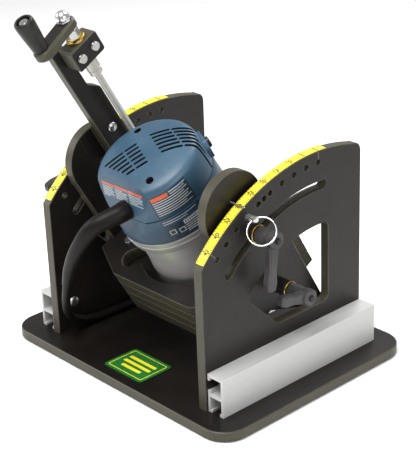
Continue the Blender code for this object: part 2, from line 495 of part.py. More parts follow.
def spline_through(ctrl, step):
    """Catmull-Rom curve through ctrl, resampled at about equal steps."""
    P = [Vector(p) for p in ctrl]
    P = [2 * P[0] - P[1]] + P + [2 * P[-1] - P[-2]]
    fine = []
    for i in range(1, len(P) - 2):
        for k in range(40):
            t = k / 40.0
            a, b, c, d = P[i - 1], P[i], P[i + 1], P[i + 2]
            fine.append(0.5 * ((2 * b) + (c - a) * t + (2 * a - 5 * b + 4 * c - d) * t * t + (3 * b - a - 3 * c + d) * t ** 3))
    fine.append(P[-2])
    total = sum((q - p).length for p, q in zip(fine, fine[1:]))
    n = max(2, round(total / step))
    out, want, run = [fine[0]], total / n, 0.0
    for p, q in zip(fine, fine[1:]):
        seg = (q - p).length
        while seg > 1e-9 and run + seg >= want - 1e-6 and len(out) < n:
            t = (want - run) / seg
            p = p + (q - p) * t
            out.append(p.copy())
            seg = (q - p).length
            run = 0.0
        run += seg
    out.append(fine[-1])
    return out, total


def cradle_to_world(x, y, z):
    a = math.radians(TILT)
    return (x, PIVOT_Y + y * math.cos(a) - z * math.sin(a), PIVOT_Z + y * math.sin(a) + z * math.cos(a))


def world_to_cradle(p):
    a = math.radians(TILT)
    dy, dz = p[1] - PIVOT_Y, p[2] - PIVOT_Z
    return (p[0], dy * math.cos(a) + dz * math.sin(a), -dy * math.sin(a) + dz * math.cos(a))


def tapered(name, pts, radii, mat, parent, sides=12, first=None):
    """Closed tube along pts whose radius follows radii."""
    bm = bmesh.new()
    rows, up = [], Vector((1, 0, 0))
    for i, p in enumerate(pts):
        t = (pts[min(i + 1, len(pts) - 1)] - pts[max(i - 1, 0)]).normalized()
        if i == 0 and first is not None:
            t = Vector(first).normalized()
        up = (up - t * up.dot(t)).normalized()
        v = t.cross(up)
        rows.append([bm.verts.new(p + (up * math.cos(2 * math.pi * k / sides) + v * math.sin(2 * math.pi * k / sides)) * radii[i]) for k in range(sides)])
    for a, b in zip(rows, rows[1:]):
        for k in range(sides):
            bm.faces.new((a[k], a[(k + 1) % sides], b[(k + 1) % sides], b[k]))
    bm.faces.new(rows[0][::-1])
    bm.faces.new(rows[-1])
    return make(name, bm, mat, parent)


def tube(name, pts, r, mat, parent):
    cu = bpy.data.curves.new(name, 'CURVE')
    cu.dimensions = '3D'
    cu.bevel_depth = r * MM
    cu.bevel_resolution = 2
    cu.use_fill_caps = True
    cu.resolution_u = 1
    cu.render_resolution_u = 0
    sp = cu.splines.new('POLY')
    sp.points.add(len(pts) - 1)
    for q, p in zip(sp.points, pts):
        q.co = (p[0] * MM, p[1] * MM, p[2] * MM, 1)
    cu.materials.append(mat)
    ob = bpy.data.objects.new(name, cu)
    bpy.context.scene.collection.objects.link(ob)
    ob.parent = parent
    return ob


# strain relief: leaves the slanted flat square to it, then bends left and down
b0 = Vector(cradle_to_world(0, -42.6, 184.0))
out_dir = Vector(cradle_to_world(0, -42.6 - math.cos(slope) * 10, 184.0 + math.sin(slope) * 10)) - b0
out_dir.normalize()
boot_ctrl = [b0, b0 + out_dir * 10.0, Vector((-10.4, -116.0, 152.4)), Vector((-28.2, -121.4, 128.0)), Vector((-44.8, -119.0, 103.6)), Vector((-57.1, -114.2, 82.2))]
boot_pts, boot_len = spline_through(boot_ctrl, 7.0)
nb = len(boot_pts)
boot_r = [9.2 - 4.3 * (i / (nb - 1)) ** 0.9 for i in range(nb)]
tapered("cord_boot", [Vector(world_to_cradle(p)) for p in boot_pts], boot_r, RUBBER, lift,
        first=Vector(world_to_cradle(b0 + out_dir)) - Vector(world_to_cradle(b0)))

end = boot_pts[-1]
tdir = (boot_pts[-1] - boot_pts[-2]).normalized()
COIL_C, COIL_MID = (-214.0, 70.0), 44.0
RUN_X = -92.5
cord_ctrl = [end + tdir * GAP, end + tdir * 16.0, (-77.0, -103.0, 48.0), (-88.5, -92.0, 29.0), (RUN_X, -70.0, 16.5), (RUN_X, -45.0, 13.9), (RUN_X, -10.0, 13.9), (RUN_X, 35.0, 13.9),
             (RUN_X, 76.0, 13.9), (-92.9, 100.0, 14.2), (-98.5, 119.0, 14.2), (-112.0, 132.0, 9.6), (-133.0, 137.5, 4.6), (-158.0, 136.0, 4.1), (-186.0, 129.8, 4.1),
             (COIL_C[0], COIL_C[1] + COIL_MID + 13.4, 4.1)]
cord_pts, cord_len = spline_through(cord_ctrl, 11.5)
tube("power_cord", cord_pts, CORD_R, RUBBER, root)
COIL_TOP = 22.4
make("cord_coil", lathe([(COIL_MID - 12.0, 1.1), (COIL_MID + 8.2, 1.1), (COIL_MID + 8.2, 15.0), (COIL_MID + 4.0, COIL_TOP), (COIL_MID - 8.0, COIL_TOP), (COIL_MID - 12.0, 15.0)], 32),
     RUBBER, root, (COIL_C[0], COIL_C[1], 0))

# loose end: off the top of the coil to the plug that lies on it
TAIL_C, TAIL_R = (-210.0, 56.0), 36.0
TOP_Z = COIL_TOP + GAP + CORD_R
tail_ctrl = [(TAIL_C[0] + TAIL_R * math.cos(math.radians(a)), TAIL_C[1] + TAIL_R * math.sin(math.radians(a)), TOP_Z + lift_)
             for a, lift_ in ((-100, 0), (-80, 0), (-60, 0), (-40, 0.6), (-20, 2.0), (0, 3.6))]
tail_pts, tail_len = spline_through(tail_ctrl, 9.0)
tube("cord_tail", tail_pts, CORD_R, RUBBER, root)
px, py, pz = tail_pts[-1]
plug = bmesh.new()
rows = []
for y, wx, wz in ((1.2, 5.2, 5.2), (16.0, 6.0, 6.0), (19.0, 9.0, 7.4), (24.0, 12.6, 8.6), (44.0, 13.2, 8.8), (46.0, 12.4, 8.2)):
    rows.append([plug.verts.new((wx * math.copysign(abs(math.cos(t)) ** 0.7, math.cos(t)), y, wz * math.copysign(abs(math.sin(t)) ** 0.7, math.sin(t))))
                 for t in [2 * math.pi * (k + 0.5) / 20 for k in range(20)]])
for a, b in zip(rows, rows[1:]):
    for k in range(20):
        plug.faces.new((a[k], a[(k + 1) % 20], b[(k + 1) % 20], b[k]))
plug.faces.new(rows[0][::-1])
plug.faces.new(rows[-1])
plug_ob = make("plug", plug, RUBBER, root, (px, py, COIL_TOP + GAP + 8.9))
for name, x, z, w, h, y1 in (("blade_tool_left", -6.4, 2.0, 1.5, 6.4, 62.0), ("blade_tool_right", 6.4, 2.0, 1.5, 6.4, 62.0), ("earth_tool", 0.0, -4.4, 4.4, 4.4, 64.0)):
    b = bmesh.new()
    bmesh.ops.create_cube(b, size=1.0, matrix=Matrix.Translation((x, (40.0 + y1) / 2, z)) @ Matrix.Diagonal((w, y1 - 40.0, h, 1)))
    boolean(plug_ob, cutter(name, b, root, (px, py, COIL_TOP + GAP + 8.9)), 'UNION')
# tie round the coil
tie = slab(round_rect(-13.8, 0.0, 9.5, COIL_TOP + 1.1, 1.6, 3), [round_rect(-13.0, 0.8, 8.7, COIL_TOP + 0.3, 0.9, 3)], -4.5, 4.5, 0)
TIE_A = math.radians(160.0)
make("cord_tie", tie, BLACK, root, (COIL_C[0] + COIL_MID * math.cos(TIE_A), COIL_C[1] + COIL_MID * math.sin(TIE_A), 0),
     aim((math.sin(TIE_A), -math.cos(TIE_A), 0), (0, 0, 1)))
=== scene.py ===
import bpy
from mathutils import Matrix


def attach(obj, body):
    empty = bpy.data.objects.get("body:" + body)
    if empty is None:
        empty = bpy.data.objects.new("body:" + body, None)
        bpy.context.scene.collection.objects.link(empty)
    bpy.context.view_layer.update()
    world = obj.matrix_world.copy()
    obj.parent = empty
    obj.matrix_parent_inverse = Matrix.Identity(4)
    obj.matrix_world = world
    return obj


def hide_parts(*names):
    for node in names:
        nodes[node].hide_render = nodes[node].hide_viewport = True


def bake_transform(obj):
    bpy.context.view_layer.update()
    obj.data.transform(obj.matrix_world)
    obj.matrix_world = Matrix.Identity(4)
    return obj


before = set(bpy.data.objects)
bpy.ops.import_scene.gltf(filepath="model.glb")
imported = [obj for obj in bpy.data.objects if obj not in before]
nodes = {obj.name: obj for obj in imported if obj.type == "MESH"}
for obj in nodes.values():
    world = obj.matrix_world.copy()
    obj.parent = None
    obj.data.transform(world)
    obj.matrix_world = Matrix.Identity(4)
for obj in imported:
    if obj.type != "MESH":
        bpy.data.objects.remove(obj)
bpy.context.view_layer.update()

import math
import bpy
import bmesh
from mathutils import Matrix, Vector

MM = 0.001
TILT = math.radians(30.0)
PY, PZ = 42.26, 24.92
CT, ST = math.cos(TILT), math.sin(TILT)
ZC = Vector((0, -ST, CT))            # the cradle's own z, y and x
YC = Vector((0, CT, ST))
XC = Vector((1, 0, 0))
CRADLE = Matrix(((1, 0, 0, 0), (0, CT, -ST, PY), (0, ST, CT, PZ), (0, 0, 0, 1)))
WORLD = Matrix.Identity(4)


def cw(x, y, z):
    return CRADLE @ Vector((x, y, z))


# ------------------------------------------------------------------ camera and stage
az, el, roll = math.radians(47.81), math.radians(23.84), math.radians(-2.12)
back = Vector((math.sin(az) * math.cos(el), -math.cos(az) * math.cos(el), math.sin(el)))
right = (-back).cross(Vector((0, 0, 1))).normalized()
up = right.cross(-back)
r2 = right * math.cos(roll) + up * math.sin(roll)
u2 = -right * math.sin(roll) + up * math.cos(roll)
cam = bpy.data.cameras.new("camera")
cam.sensor_width, cam.sensor_fit, cam.lens = 36.0, 'AUTO', 1427.17 / 453 * 36
cam.clip_start, cam.clip_end = 0.05, 20.0
cam_ob = bpy.data.objects.new("camera", cam)
bpy.context.scene.collection.objects.link(cam_ob)
m = Matrix.Identity(4)
for i, v in enumerate((r2, u2, back)):
    for j in range(3):
        m[j][i] = v[j]
m.translation = Vector((0.89067, -0.79892, 0.6473))
cam_ob.matrix_world = m
bpy.context.scene.camera = cam_ob


# ------------------------------------------------------------------ material helpers
class Mat:
    def __init__(self, name):
        self.m = bpy.data.materials.new(name)
        self.m.use_nodes = True
        self.nt = self.m.node_tree
        self.b = self.nt.nodes["Principled BSDF"]
        self.tc = self.nt.nodes.new("ShaderNodeTexCoord")
        self.geo = self.nt.nodes.new("ShaderNodeNewGeometry")

    def put(self, socket, v):
        if isinstance(v, bpy.types.NodeSocket):
            self.nt.links.new(v, socket)
        elif v is not None:
            socket.default_value = v

    def vmath(self, op, a, b=None, scale=None):
        n = self.nt.nodes.new("ShaderNodeVectorMath")
        n.operation = op
        self.put(n.inputs[0], a)
        if b is not None:
            self.put(n.inputs[1], b)
        if scale is not None:
            self.put(n.inputs["Scale"], scale)
        return n.outputs["Value"] if op in ('DOT_PRODUCT', 'LENGTH') else n.outputs["Vector"]

    def math(self, op, a, b=None, clamp=False):
        n = self.nt.nodes.new("ShaderNodeMath")
        n.operation = op
        n.use_clamp = clamp
        self.put(n.inputs[0], a)
        if b is not None:
            self.put(n.inputs[1], b)
        return n.outputs[0]

    def noise(self, vec, scale, detail=2.0, rough=0.5, distortion=0.0):
        n = self.nt.nodes.new("ShaderNodeTexNoise")
        self.put(n.inputs["Vector"], vec)
        n.inputs["Scale"].default_value = scale
        n.inputs["Detail"].default_value = detail
        n.inputs["Roughness"].default_value = rough
        n.inputs["Distortion"].default_value = distortion
        return n.outputs[0]

    def voronoi(self, vec, scale):
        n = self.nt.nodes.new("ShaderNodeTexVoronoi")
        self.put(n.inputs["Vector"], vec)
        n.inputs["Scale"].default_value = scale
        return n.outputs["Distance"]

    def span(self, v, a, b, c=0.0, d=1.0):
        n = self.nt.nodes.new("ShaderNodeMapRange")
        self.put(n.inputs["Value"], v)
        for k, x in (("From Min", a), ("From Max", b), ("To Min", c), ("To Max", d)):
            n.inputs[k].default_value = x
        return n.outputs["Result"]

    def mix(self, f, a, b):
        n = self.nt.nodes.new("ShaderNodeMix")
        n.data_type = 'RGBA'
        ins = [s for s in n.inputs if s.type == 'RGBA']
        self.put(n.inputs[0], f)
        for s, v in zip(ins, (a, b)):
            self.put(s, (*v, 1.0) if isinstance(v, (tuple, list)) else v)
        return [s for s in n.outputs if s.type == 'RGBA'][0]

    def bump(self, height, dist, strength=1.0, normal=None):
        n = self.nt.nodes.new("ShaderNodeBump")
        n.inputs["Strength"].default_value = strength
        n.inputs["Distance"].default_value = dist
        self.put(n.inputs["Height"], height)
        if normal is not None:
            self.put(n.inputs["Normal"], normal)
        return n.outputs["Normal"]

    def edge(self, radius, lo=0.04, hi=0.25):
        """1 along the sharp arrises within about radius, 0 on open faces."""
        n = self.nt.nodes.new("ShaderNodeBevel")
        n.samples = 4
        n.inputs["Radius"].default_value = radius
        d = self.vmath('DOT_PRODUCT', n.outputs[0], self.geo.outputs["Normal"])
        return self.span(self.math('SUBTRACT', 1.0, d), lo, hi)

    def pos(self):
        return self.tc.outputs["Object"]

    def stretched(self, axis, along, across):
        """Coordinates scaled by along in the axis direction and by across in the others."""
        p = self.pos()
        d = self.vmath('DOT_PRODUCT', p, tuple(axis))
        a = self.vmath('SCALE', tuple(axis), scale=self.math('MULTIPLY', d, along - across))
        return self.vmath('ADD', self.vmath('SCALE', p, scale=across), a)

    def done(self, color=None, rough=None, metal=None, normal=None, **fixed):
        self.put(self.b.inputs["Base Color"], (*color, 1.0) if isinstance(color, (tuple, list)) else color)
        self.put(self.b.inputs["Roughness"], rough)
        if metal is not None:
            self.b.inputs["Metallic"].default_value = metal
        self.put(self.b.inputs["Normal"], normal)
        for k, v in fixed.items():
            self.b.inputs[k.replace("_", " ")].default_value = v
        return self.m


def phenolic(name, axis, face_tint=1.0):
    """Paper laminate board: dark pressed faces, sawn edges in olive-brown layers, paler arrises."""
    t = Mat(name)
    p = t.pos()
    n = t.vmath('DOT_PRODUCT', t.tc.outputs["Normal"], tuple(axis))
    face = t.span(t.math('ABSOLUTE', n), 0.86, 0.95)
    cloud = t.noise(p, 34.0, 4.0, 0.6)
    speck = t.noise(p, 1500.0, 2.0)
    a = tuple(c * face_tint for c in (0.0058, 0.0043, 0.0036))
    b = tuple(c * face_tint for c in (0.0125, 0.0094, 0.0078))
    fcol = t.mix(t.span(cloud, 0.32, 0.7), a, b)
    fcol = t.mix(t.span(speck, 0.62, 0.82, 0.0, 0.30), fcol, (0.042, 0.034, 0.028))
    lay = t.noise(t.stretched(axis, 2600.0, 40.0), 1.0, 3.0, 0.7)
    saw = t.noise(p, 420.0, 3.0)
    ecol = t.mix(t.span(lay, 0.35, 0.65), (0.036, 0.032, 0.021), (0.082, 0.075, 0.050))
    ecol = t.mix(t.span(saw, 0.35, 0.75, 0.0, 0.45), ecol, (0.056, 0.051, 0.036))
    col = t.mix(face, ecol, fcol)
    # paler arrises: patchy edge wear together with a painted arris highlight
    edge_wear_and_highlight = t.math('MULTIPLY', t.edge(0.0007), t.span(t.noise(p, 260.0, 3.0), 0.25, 0.6, 0.45, 1.0))
    col = t.mix(edge_wear_and_highlight, col, (0.175, 0.162, 0.122))
    scuff = t.noise(t.stretched((0.3, 0.8, 0.52), 30.0, 900.0), 1.0, 4.0, 0.62)
    rough = t.span(scuff, 0.3, 0.75, 0.33, 0.47)
    nor = t.bump(speck, 0.00004, 0.35)
    nor = t.bump(lay, 0.00006, 0.35, nor)
    return t.done(col, rough, normal=nor, Specular_IOR_Level=0.32)


def turned(name, base, dark, axis, rough=(0.22, 0.40), pitch=3800.0, metal=1.0, edge_wear_and_highlight=True):
    """Metal with fine marks square to axis, as a lathe leaves them, or along it where the pitch is across."""
    t = Mat(name)
    marks = t.noise(t.stretched(axis, pitch, 18.0), 1.0, 3.0, 0.7)
    cloud = t.noise(t.pos(), 60.0, 4.0, 0.6)
    col = t.mix(t.span(marks, 0.35, 0.7), dark, base)
    col = t.mix(t.span(cloud, 0.3, 0.75, 0.0, 0.35), col, tuple(c * 0.72 for c in base))
    # lighter arrises: edge wear together with a painted highlight along the edges
    if edge_wear_and_highlight:
        col = t.mix(t.edge(0.0005), col, tuple(min(1.0, c * 1.2) for c in base))
    r = t.span(marks, 0.3, 0.7, rough[0], rough[1])
    return t.done(col, r, metal, t.bump(marks, 0.00003, 0.4))


def brushed(name, base, dark, axis, rough=(0.24, 0.42), metal=1.0, across=2400.0):
    """Drawn or extruded metal, with streaks that run along axis."""
    t = Mat(name)
    marks = t.noise(t.stretched(axis, 6.0, across), 1.0, 3.0, 0.65)
    cloud = t.noise(t.pos(), 45.0, 3.0)
    col = t.mix(t.span(marks, 0.35, 0.7), dark, base)
    col = t.mix(t.span(cloud, 0.4, 0.8, 0.0, 0.25), col, tuple(c * 0.8 for c in base))
    # lighter arrises: edge wear together with a painted highlight along the edges
    col = t.mix(t.edge(0.0005), col, tuple(min(1.0, c * 1.15) for c in base))
    return t.done(col, t.span(marks, 0.3, 0.7, rough[0], rough[1]), metal, t.bump(marks, 0.00002, 0.35))


def moulded(name, base, light, rough=(0.38, 0.55), grain=1400.0, depth=0.00005, edge_wear_and_highlight=0.6, tint=30.0, metal=0.0, spec=0.5):
    """Moulded or painted surface: fine grain, cloudy tone, edges lighter from rubbing and from a painted highlight."""
    t = Mat(name)
    p = t.pos()
    g = t.noise(p, grain, 3.0, 0.6)
    cloud = t.noise(p, tint, 4.0, 0.6)
    col = t.mix(t.span(cloud, 0.3, 0.72), base, tuple(0.5 * (a + b) for a, b in zip(base, light)))
    # lighter edges: rubbed wear together with a painted highlight
    if edge_wear_and_highlight:
        w = t.math('MULTIPLY', t.edge(0.0006), t.span(t.noise(p, 300.0, 3.0), 0.3, 0.65, 0.3 * edge_wear_and_highlight, edge_wear_and_highlight))
        col = t.mix(w, col, light)
    return t.done(col, t.span(g, 0.3, 0.7, rough[0], rough[1]), metal, t.bump(g, depth, 0.5), Specular_IOR_Level=spec)


M = {}
M["plate_z"] = phenolic("phenolic_plate", (0, 0, 1), 0.80)
M["plate_x"] = phenolic("phenolic_side", (1, 0, 0), 1.0)
M["plate_c"] = phenolic("phenolic_cradle_board", tuple(ZC), 1.0)
M["alu_rail"] = brushed("rail_aluminium", (0.60, 0.60, 0.595), (0.51, 0.51, 0.505), (0, 1, 0), (0.42, 0.55), 0.20)
M["cast"] = turned("cast_aluminium", (0.66, 0.65, 0.63), (0.50, 0.49, 0.47), tuple(ZC), (0.28, 0.44), 2600.0, 0.60)
M["zinc"] = turned("zinc_steel", (0.66, 0.66, 0.63), (0.46, 0.46, 0.44), (1, 0, 0), (0.20, 0.38), 5000.0)
M["rod"] = turned("ground_steel", (0.66, 0.64, 0.58), (0.54, 0.52, 0.47), tuple(ZC), (0.30, 0.42), 1500.0, 0.55)
M["chrome"] = moulded("chrome_plate", (0.58, 0.59, 0.59), (0.74, 0.74, 0.73), (0.12, 0.22), 900.0, 0.00001, 0.4, 80.0, 0.85)
M["brass"] = turned("brass_turned", (0.72, 0.49, 0.14), (0.46, 0.29, 0.07), (1, 0, 0), (0.20, 0.36), 5000.0)
M["brass_c"] = turned("brass_turned_cradle", (0.72, 0.49, 0.14), (0.46, 0.29, 0.07), tuple(ZC), (0.20, 0.36), 5000.0)
M["copper"] = brushed("winding_copper", (0.48, 0.20, 0.09), (0.30, 0.10, 0.04), tuple(ZC), (0.3, 0.5), 1.0, 1800.0)
M["blue"] = moulded("motor_blue", (0.014, 0.046, 0.084), (0.048, 0.118, 0.180), (0.30, 0.44), 1500.0, 0.00005, 0.55, 26.0)
M["blue_cap"] = moulded("cap_blue", (0.020, 0.058, 0.100), (0.066, 0.142, 0.208), (0.32, 0.46), 1300.0, 0.00006, 0.55, 26.0)
# near-black for the faces of cut vents, slots and holes: painted shade standing in for their depth
M["vent"] = moulded("painted_hole_shade", (0.004, 0.008, 0.013), (0.012, 0.020, 0.030), (0.5, 0.7), 900.0, 0.00005, 0.0)
M["black"] = moulded("black_plastic", (0.0060, 0.0056, 0.0054), (0.040, 0.038, 0.036), (0.26, 0.40), 1800.0, 0.00004, 0.5, spec=0.30)
M["lever"] = moulded("lever_plastic", (0.026, 0.0245, 0.0245), (0.100, 0.096, 0.094), (0.38, 0.52), 1300.0, 0.00008, 0.5, spec=0.42)
M["rubber"] = moulded("cord_rubber", (0.0042, 0.0031, 0.0027), (0.016, 0.012, 0.011), (0.38, 0.52), 1000.0, 0.00006, 0.0, spec=0.16)
M["tape"] = moulded("scale_yellow", (0.86, 0.72, 0.010), (0.95, 0.88, 0.14), (0.30, 0.45), 900.0, 0.00002, 0.25, 90.0)
M["ink"] = moulded("scale_ink", (0.020, 0.018, 0.010), (0.050, 0.045, 0.030), (0.4, 0.5), 2000.0, 0.00001, 0.0)
M["green"] = moulded("badge_green", (0.010, 0.130, 0.022), (0.030, 0.230, 0.050), (0.22, 0.34), 700.0, 0.00002, 0.3, 60.0)
M["badge_yellow"] = moulded("badge_yellow", (0.80, 0.70, 0.012), (0.92, 0.86, 0.10), (0.26, 0.38), 700.0, 0.00002, 0.0, 60.0)
M["label"] = moulded("label_film", (0.016, 0.030, 0.044), (0.040, 0.060, 0.080), (0.22, 0.34), 1200.0, 0.00001, 0.0, 60.0)
M["label_blue"] = moulded("label_clear", (0.045, 0.098, 0.150), (0.080, 0.150, 0.210), (0.22, 0.34), 1200.0, 0.00001, 0.0, 60.0)
M["orange"] = moulded("label_orange", (0.62, 0.075, 0.012), (0.75, 0.16, 0.05), (0.28, 0.40), 1200.0, 0.00001, 0.0, 90.0)
M["white"] = moulded("label_white", (0.42, 0.45, 0.47), (0.62, 0.64, 0.66), (0.28, 0.40), 1200.0, 0.00001, 0.0, 90.0)
M["scribe"] = moulded("engraved_line", (0.16, 0.15, 0.12), (0.24, 0.22, 0.18), (0.45, 0.6), 1500.0, 0.00003, 0.0)

# threads as fine rings in a screw's surface; no object is given this material
t = Mat("screw_thread")
zc = t.math('MULTIPLY', t.vmath('DOT_PRODUCT', t.pos(), tuple(ZC)), 2 * math.pi / 0.00127)
wave = t.math('SINE', zc)
marks = t.noise(t.stretched(tuple(ZC), 900.0, 40.0), 1.0, 3.0)
# dark rings in the grooves are painted shade and pale rings on the crests a painted highlight
col = t.mix(t.span(wave, -0.7, 0.7), (0.30, 0.29, 0.27), (0.64, 0.63, 0.59))
M["thread"] = t.done(t.mix(t.span(marks, 0.35, 0.8, 0.0, 0.4), col, (0.42, 0.40, 0.36)), t.span(marks, 0.3, 0.7, 0.22, 0.36), 1.0, t.bump(wave, 0.0004, 0.6))


# ------------------------------------------------------------------ mesh helpers
def finish_mesh(name, bm, mat, body, frame_m=CRADLE, stands_for=(), sharp=32.0, mats=None):
    """bm is in millimetres in frame_m; the object is in metres in the shared frame."""
    bmesh.ops.recalc_face_normals(bm, faces=bm.faces)
    me = bpy.data.meshes.new(name)
    bm.transform(Matrix.Scale(MM, 4) @ frame_m)
    if sharp is not None:
        for f in bm.faces:
            f.smooth = True
        for e in bm.edges:
            if len(e.link_faces) == 2 and e.calc_face_angle(0.0) > math.radians(sharp):
                e.smooth = False
    bm.to_mesh(me)
    bm.free()
    ob = bpy.data.objects.new(name, me)
    bpy.context.scene.collection.objects.link(ob)
    for x in (mats or [mat]):
        me.materials.append(x)
    if body:
        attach(ob, body)
    if stands_for:
        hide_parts(*stands_for)
    return ob


def lathe(profile, n=64, bm=None):
    bm = bm or bmesh.new()
    rows = []
    for r, z in profile:
        if r < 1e-6:
            rows.append([bm.verts.new((0, 0, z))])
        else:
            rows.append([bm.verts.new((r * math.cos(2 * math.pi * k / n), r * math.sin(2 * math.pi * k / n), z)) for k in range(n)])
    pairs = list(zip(rows, rows[1:]))
    if len(rows[0]) > 1 and len(rows[-1]) > 1:
        pairs.append((rows[-1], rows[0]))
    for a, b in pairs:
        if len(a) == 1 and len(b) == 1:
            continue
        for k in range(n):
            j = (k + 1) % n
            if len(a) == 1:
                bm.faces.new((a[0], b[j], b[k]))
            elif len(b) == 1:
                bm.faces.new((a[k], a[j], b[0]))
            else:
                bm.faces.new((a[k], a[j], b[j], b[k]))
    return bm


def rounded(profile, r=0.6, steps=3):
    """Rounds the inner corners of an open (r, z) profile by about r."""
    out = [profile[0]]
    for a, b, c in zip(profile, profile[1:], profile[2:]):
        a, b, c = Vector(a), Vector(b), Vector(c)
        la, lc = (a - b).length, (c - b).length
        if la < 1e-6 or lc < 1e-6 or b.x < 1e-6:
            out.append(tuple(b))
            continue
        turn = (b - a).angle(c - b)
        if turn < math.radians(12):
            out.append(tuple(b))
            continue
        d = min(r, 0.45 * la, 0.45 * lc)
        p, q = b + (a - b) / la * d, b + (c - b) / lc * d
        for i in range(steps + 1):
            s = i / steps
            out.append(tuple(p * (1 - s) ** 2 + b * 2 * s * (1 - s) + q * s * s))
    out.append(profile[-1])
    return out


def at(bm, mat4):
    bm.transform(mat4)
    return bm


def aim(origin, z, x=None):
    """Frame whose z points along z, with its origin there."""
    z = Vector(z).normalized()
    x = Vector(x) if x is not None else (Vector((1, 0, 0)) if abs(z.x) < 0.8 else Vector((0, 1, 0)))
    x = (x - z * x.dot(z)).normalized()
    y = z.cross(x)
    return Matrix(((x.x, y.x, z.x, origin[0]), (x.y, y.y, z.y, origin[1]), (x.z, y.z, z.z, origin[2]), (0, 0, 0, 1)))


def prism(bm, outline, z0, z1, mat_index=0):
    lo = [bm.verts.new((x, y, z0)) for x, y in outline]
    hi = [bm.verts.new((x, y, z1)) for x, y in outline]
    fs = [bm.faces.new(lo[::-1]), bm.faces.new(hi)]
    for i in range(len(lo)):
        j = (i + 1) % len(lo)
        fs.append(bm.faces.new((lo[i], lo[j], hi[j], hi[i])))
    for f in fs:
        f.material_index = mat_index
    return bm


def tube(points, radii, n=16, cap=True):
    bm = bmesh.new()
    pts = [Vector(p) for p in points]
    rows, side = [], None
    for i, p in enumerate(pts):
        t_ = (pts[min(i + 1, len(pts) - 1)] - pts[max(i - 1, 0)]).normalized()
        if side is None:
            side = t_.orthogonal().normalized()
        side = (side - t_ * side.dot(t_)).normalized()
        oth = t_.cross(side)
        r = radii[i] if isinstance(radii, (list, tuple)) else radii
        rows.append([bm.verts.new(p + (side * math.cos(2 * math.pi * k / n) + oth * math.sin(2 * math.pi * k / n)) * r) for k in range(n)])
    for a, b in zip(rows, rows[1:]):
        for k in range(n):
            bm.faces.new((a[k], a[(k + 1) % n], b[(k + 1) % n], b[k]))
    if cap:
        bm.faces.new(rows[0][::-1])
        bm.faces.new(rows[-1])
    return bm


def spline(ctrl, step):
    """Catmull-Rom curve through ctrl, at about equal steps."""
    P = [Vector(p) for p in ctrl]
    P = [2 * P[0] - P[1]] + P + [2 * P[-1] - P[-2]]
    fine = []
    for i in range(1, len(P) - 2):
        for k in range(40):
            s = k / 40.0
            a, b, c, d = P[i - 1], P[i], P[i + 1], P[i + 2]
            fine.append(0.5 * ((2 * b) + (c - a) * s + (2 * a - 5 * b + 4 * c - d) * s * s + (3 * b - a - 3 * c + d) * s ** 3))
    fine.append(P[-2])
    return even(fine, step)


def even(fine, step):
    total = sum((q - p).length for p, q in zip(fine, fine[1:]))
    n = max(2, round(total / step))
    out, want, run = [fine[0]], total / n, 0.0
    for p, q in zip(fine, fine[1:]):
        seg = (q - p).length
        while seg > 1e-9 and run + seg >= want - 1e-6 and len(out) < n:
            s = (want - run) / seg
            p = p + (q - p) * s
            out.append(p.copy())
            seg = (q - p).length
            run = 0.0
        run += seg
    out.append(fine[-1])
    return out


def boolean(ob, bm, op='DIFFERENCE', frame_m=CRADLE, mat=None):
    """Applies a cutter at once and keeps its material on the cut faces."""
    bmesh.ops.recalc_face_normals(bm, faces=bm.faces)
    me = bpy.data.meshes.new("tool")
    bm.transform(Matrix.Scale(MM, 4) @ frame_m)
    bm.to_mesh(me)
    bm.free()
    tool = bpy.data.objects.new("tool", me)
    bpy.context.scene.collection.objects.link(tool)
    me.materials.append(mat or ob.data.materials[0])
    mod = ob.modifiers.new("cut", 'BOOLEAN')
    mod.object, mod.operation, mod.solver = tool, op, 'EXACT'
    mod.material_mode = 'TRANSFER'
    bpy.context.view_layer.update()
    ev = ob.evaluated_get(bpy.context.evaluated_depsgraph_get())
    new = bpy.data.meshes.new_from_object(ev)
    ob.modifiers.clear()
    ob.data = new
    bpy.data.objects.remove(tool)


def sharpen(ob, angle=32.0):
    bm = bmesh.new()
    bm.from_mesh(ob.data)
    bmesh.ops.remove_doubles(bm, verts=bm.verts, dist=1e-6)
    for f in bm.faces:
        f.smooth = True
    for e in bm.edges:
        e.smooth = not (len(e.link_faces) == 2 and e.calc_face_angle(0.0) > math.radians(angle))
    bm.to_mesh(ob.data)
    bm.free()


# ------------------------------------------------------------------ cord (it comes first, after the camera)
slope = math.atan2(10.5, 28.0)
b0 = cw(0, -42.6, 184.0)
out_dir = (cw(0, -42.6 - math.cos(slope) * 10, 184.0 + math.sin(slope) * 10) - b0).normalized()
boot_pts = spline([b0 - out_dir * 0.0, b0 + out_dir * 10.0, Vector((-10.4, -116.0, 152.4)), Vector((-28.2, -121.4, 128.0)), Vector((-44.8, -119.0, 103.6)), Vector((-57.1, -114.2, 82.2))], 2.5)
nb = len(boot_pts)
boot_r = []
for i in range(nb):
    s = i / (nb - 1)
    r = 9.2 - 4.3 * s ** 0.9
    if s < 0.035:
        r += 0.0
    boot_r.append(r)
boot = finish_mesh("strain_relief", tube(boot_pts, boot_r, 32), M["rubber"], None, WORLD)
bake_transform(boot)
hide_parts("cord_boot")

end = boot_pts[-1]
tdir = (boot_pts[-1] - boot_pts[-3]).normalized()
RUN_X = -92.5
run = spline([end + tdir * 0.3, end + tdir * 16.0, (-77.0, -103.0, 48.0), (-88.5, -92.0, 29.0), (RUN_X, -70.0, 16.5), (RUN_X, -45.0, 13.9), (RUN_X, -10.0, 13.9), (RUN_X, 35.0, 13.9),
              (RUN_X, 76.0, 13.9), (-92.9, 100.0, 14.2), (-98.5, 119.0, 14.2), (-112.0, 132.0, 9.6), (-133.0, 137.5, 4.6), (-158.0, 136.0, 4.1), (-186.0, 129.8, 4.1), (-214.0, 127.4, 4.1)], 3.0)


def smooth(a, b, x):
    x = min(1.0, max(0.0, (x - a) / (b - a)))
    return x * x * (3 - 2 * x)


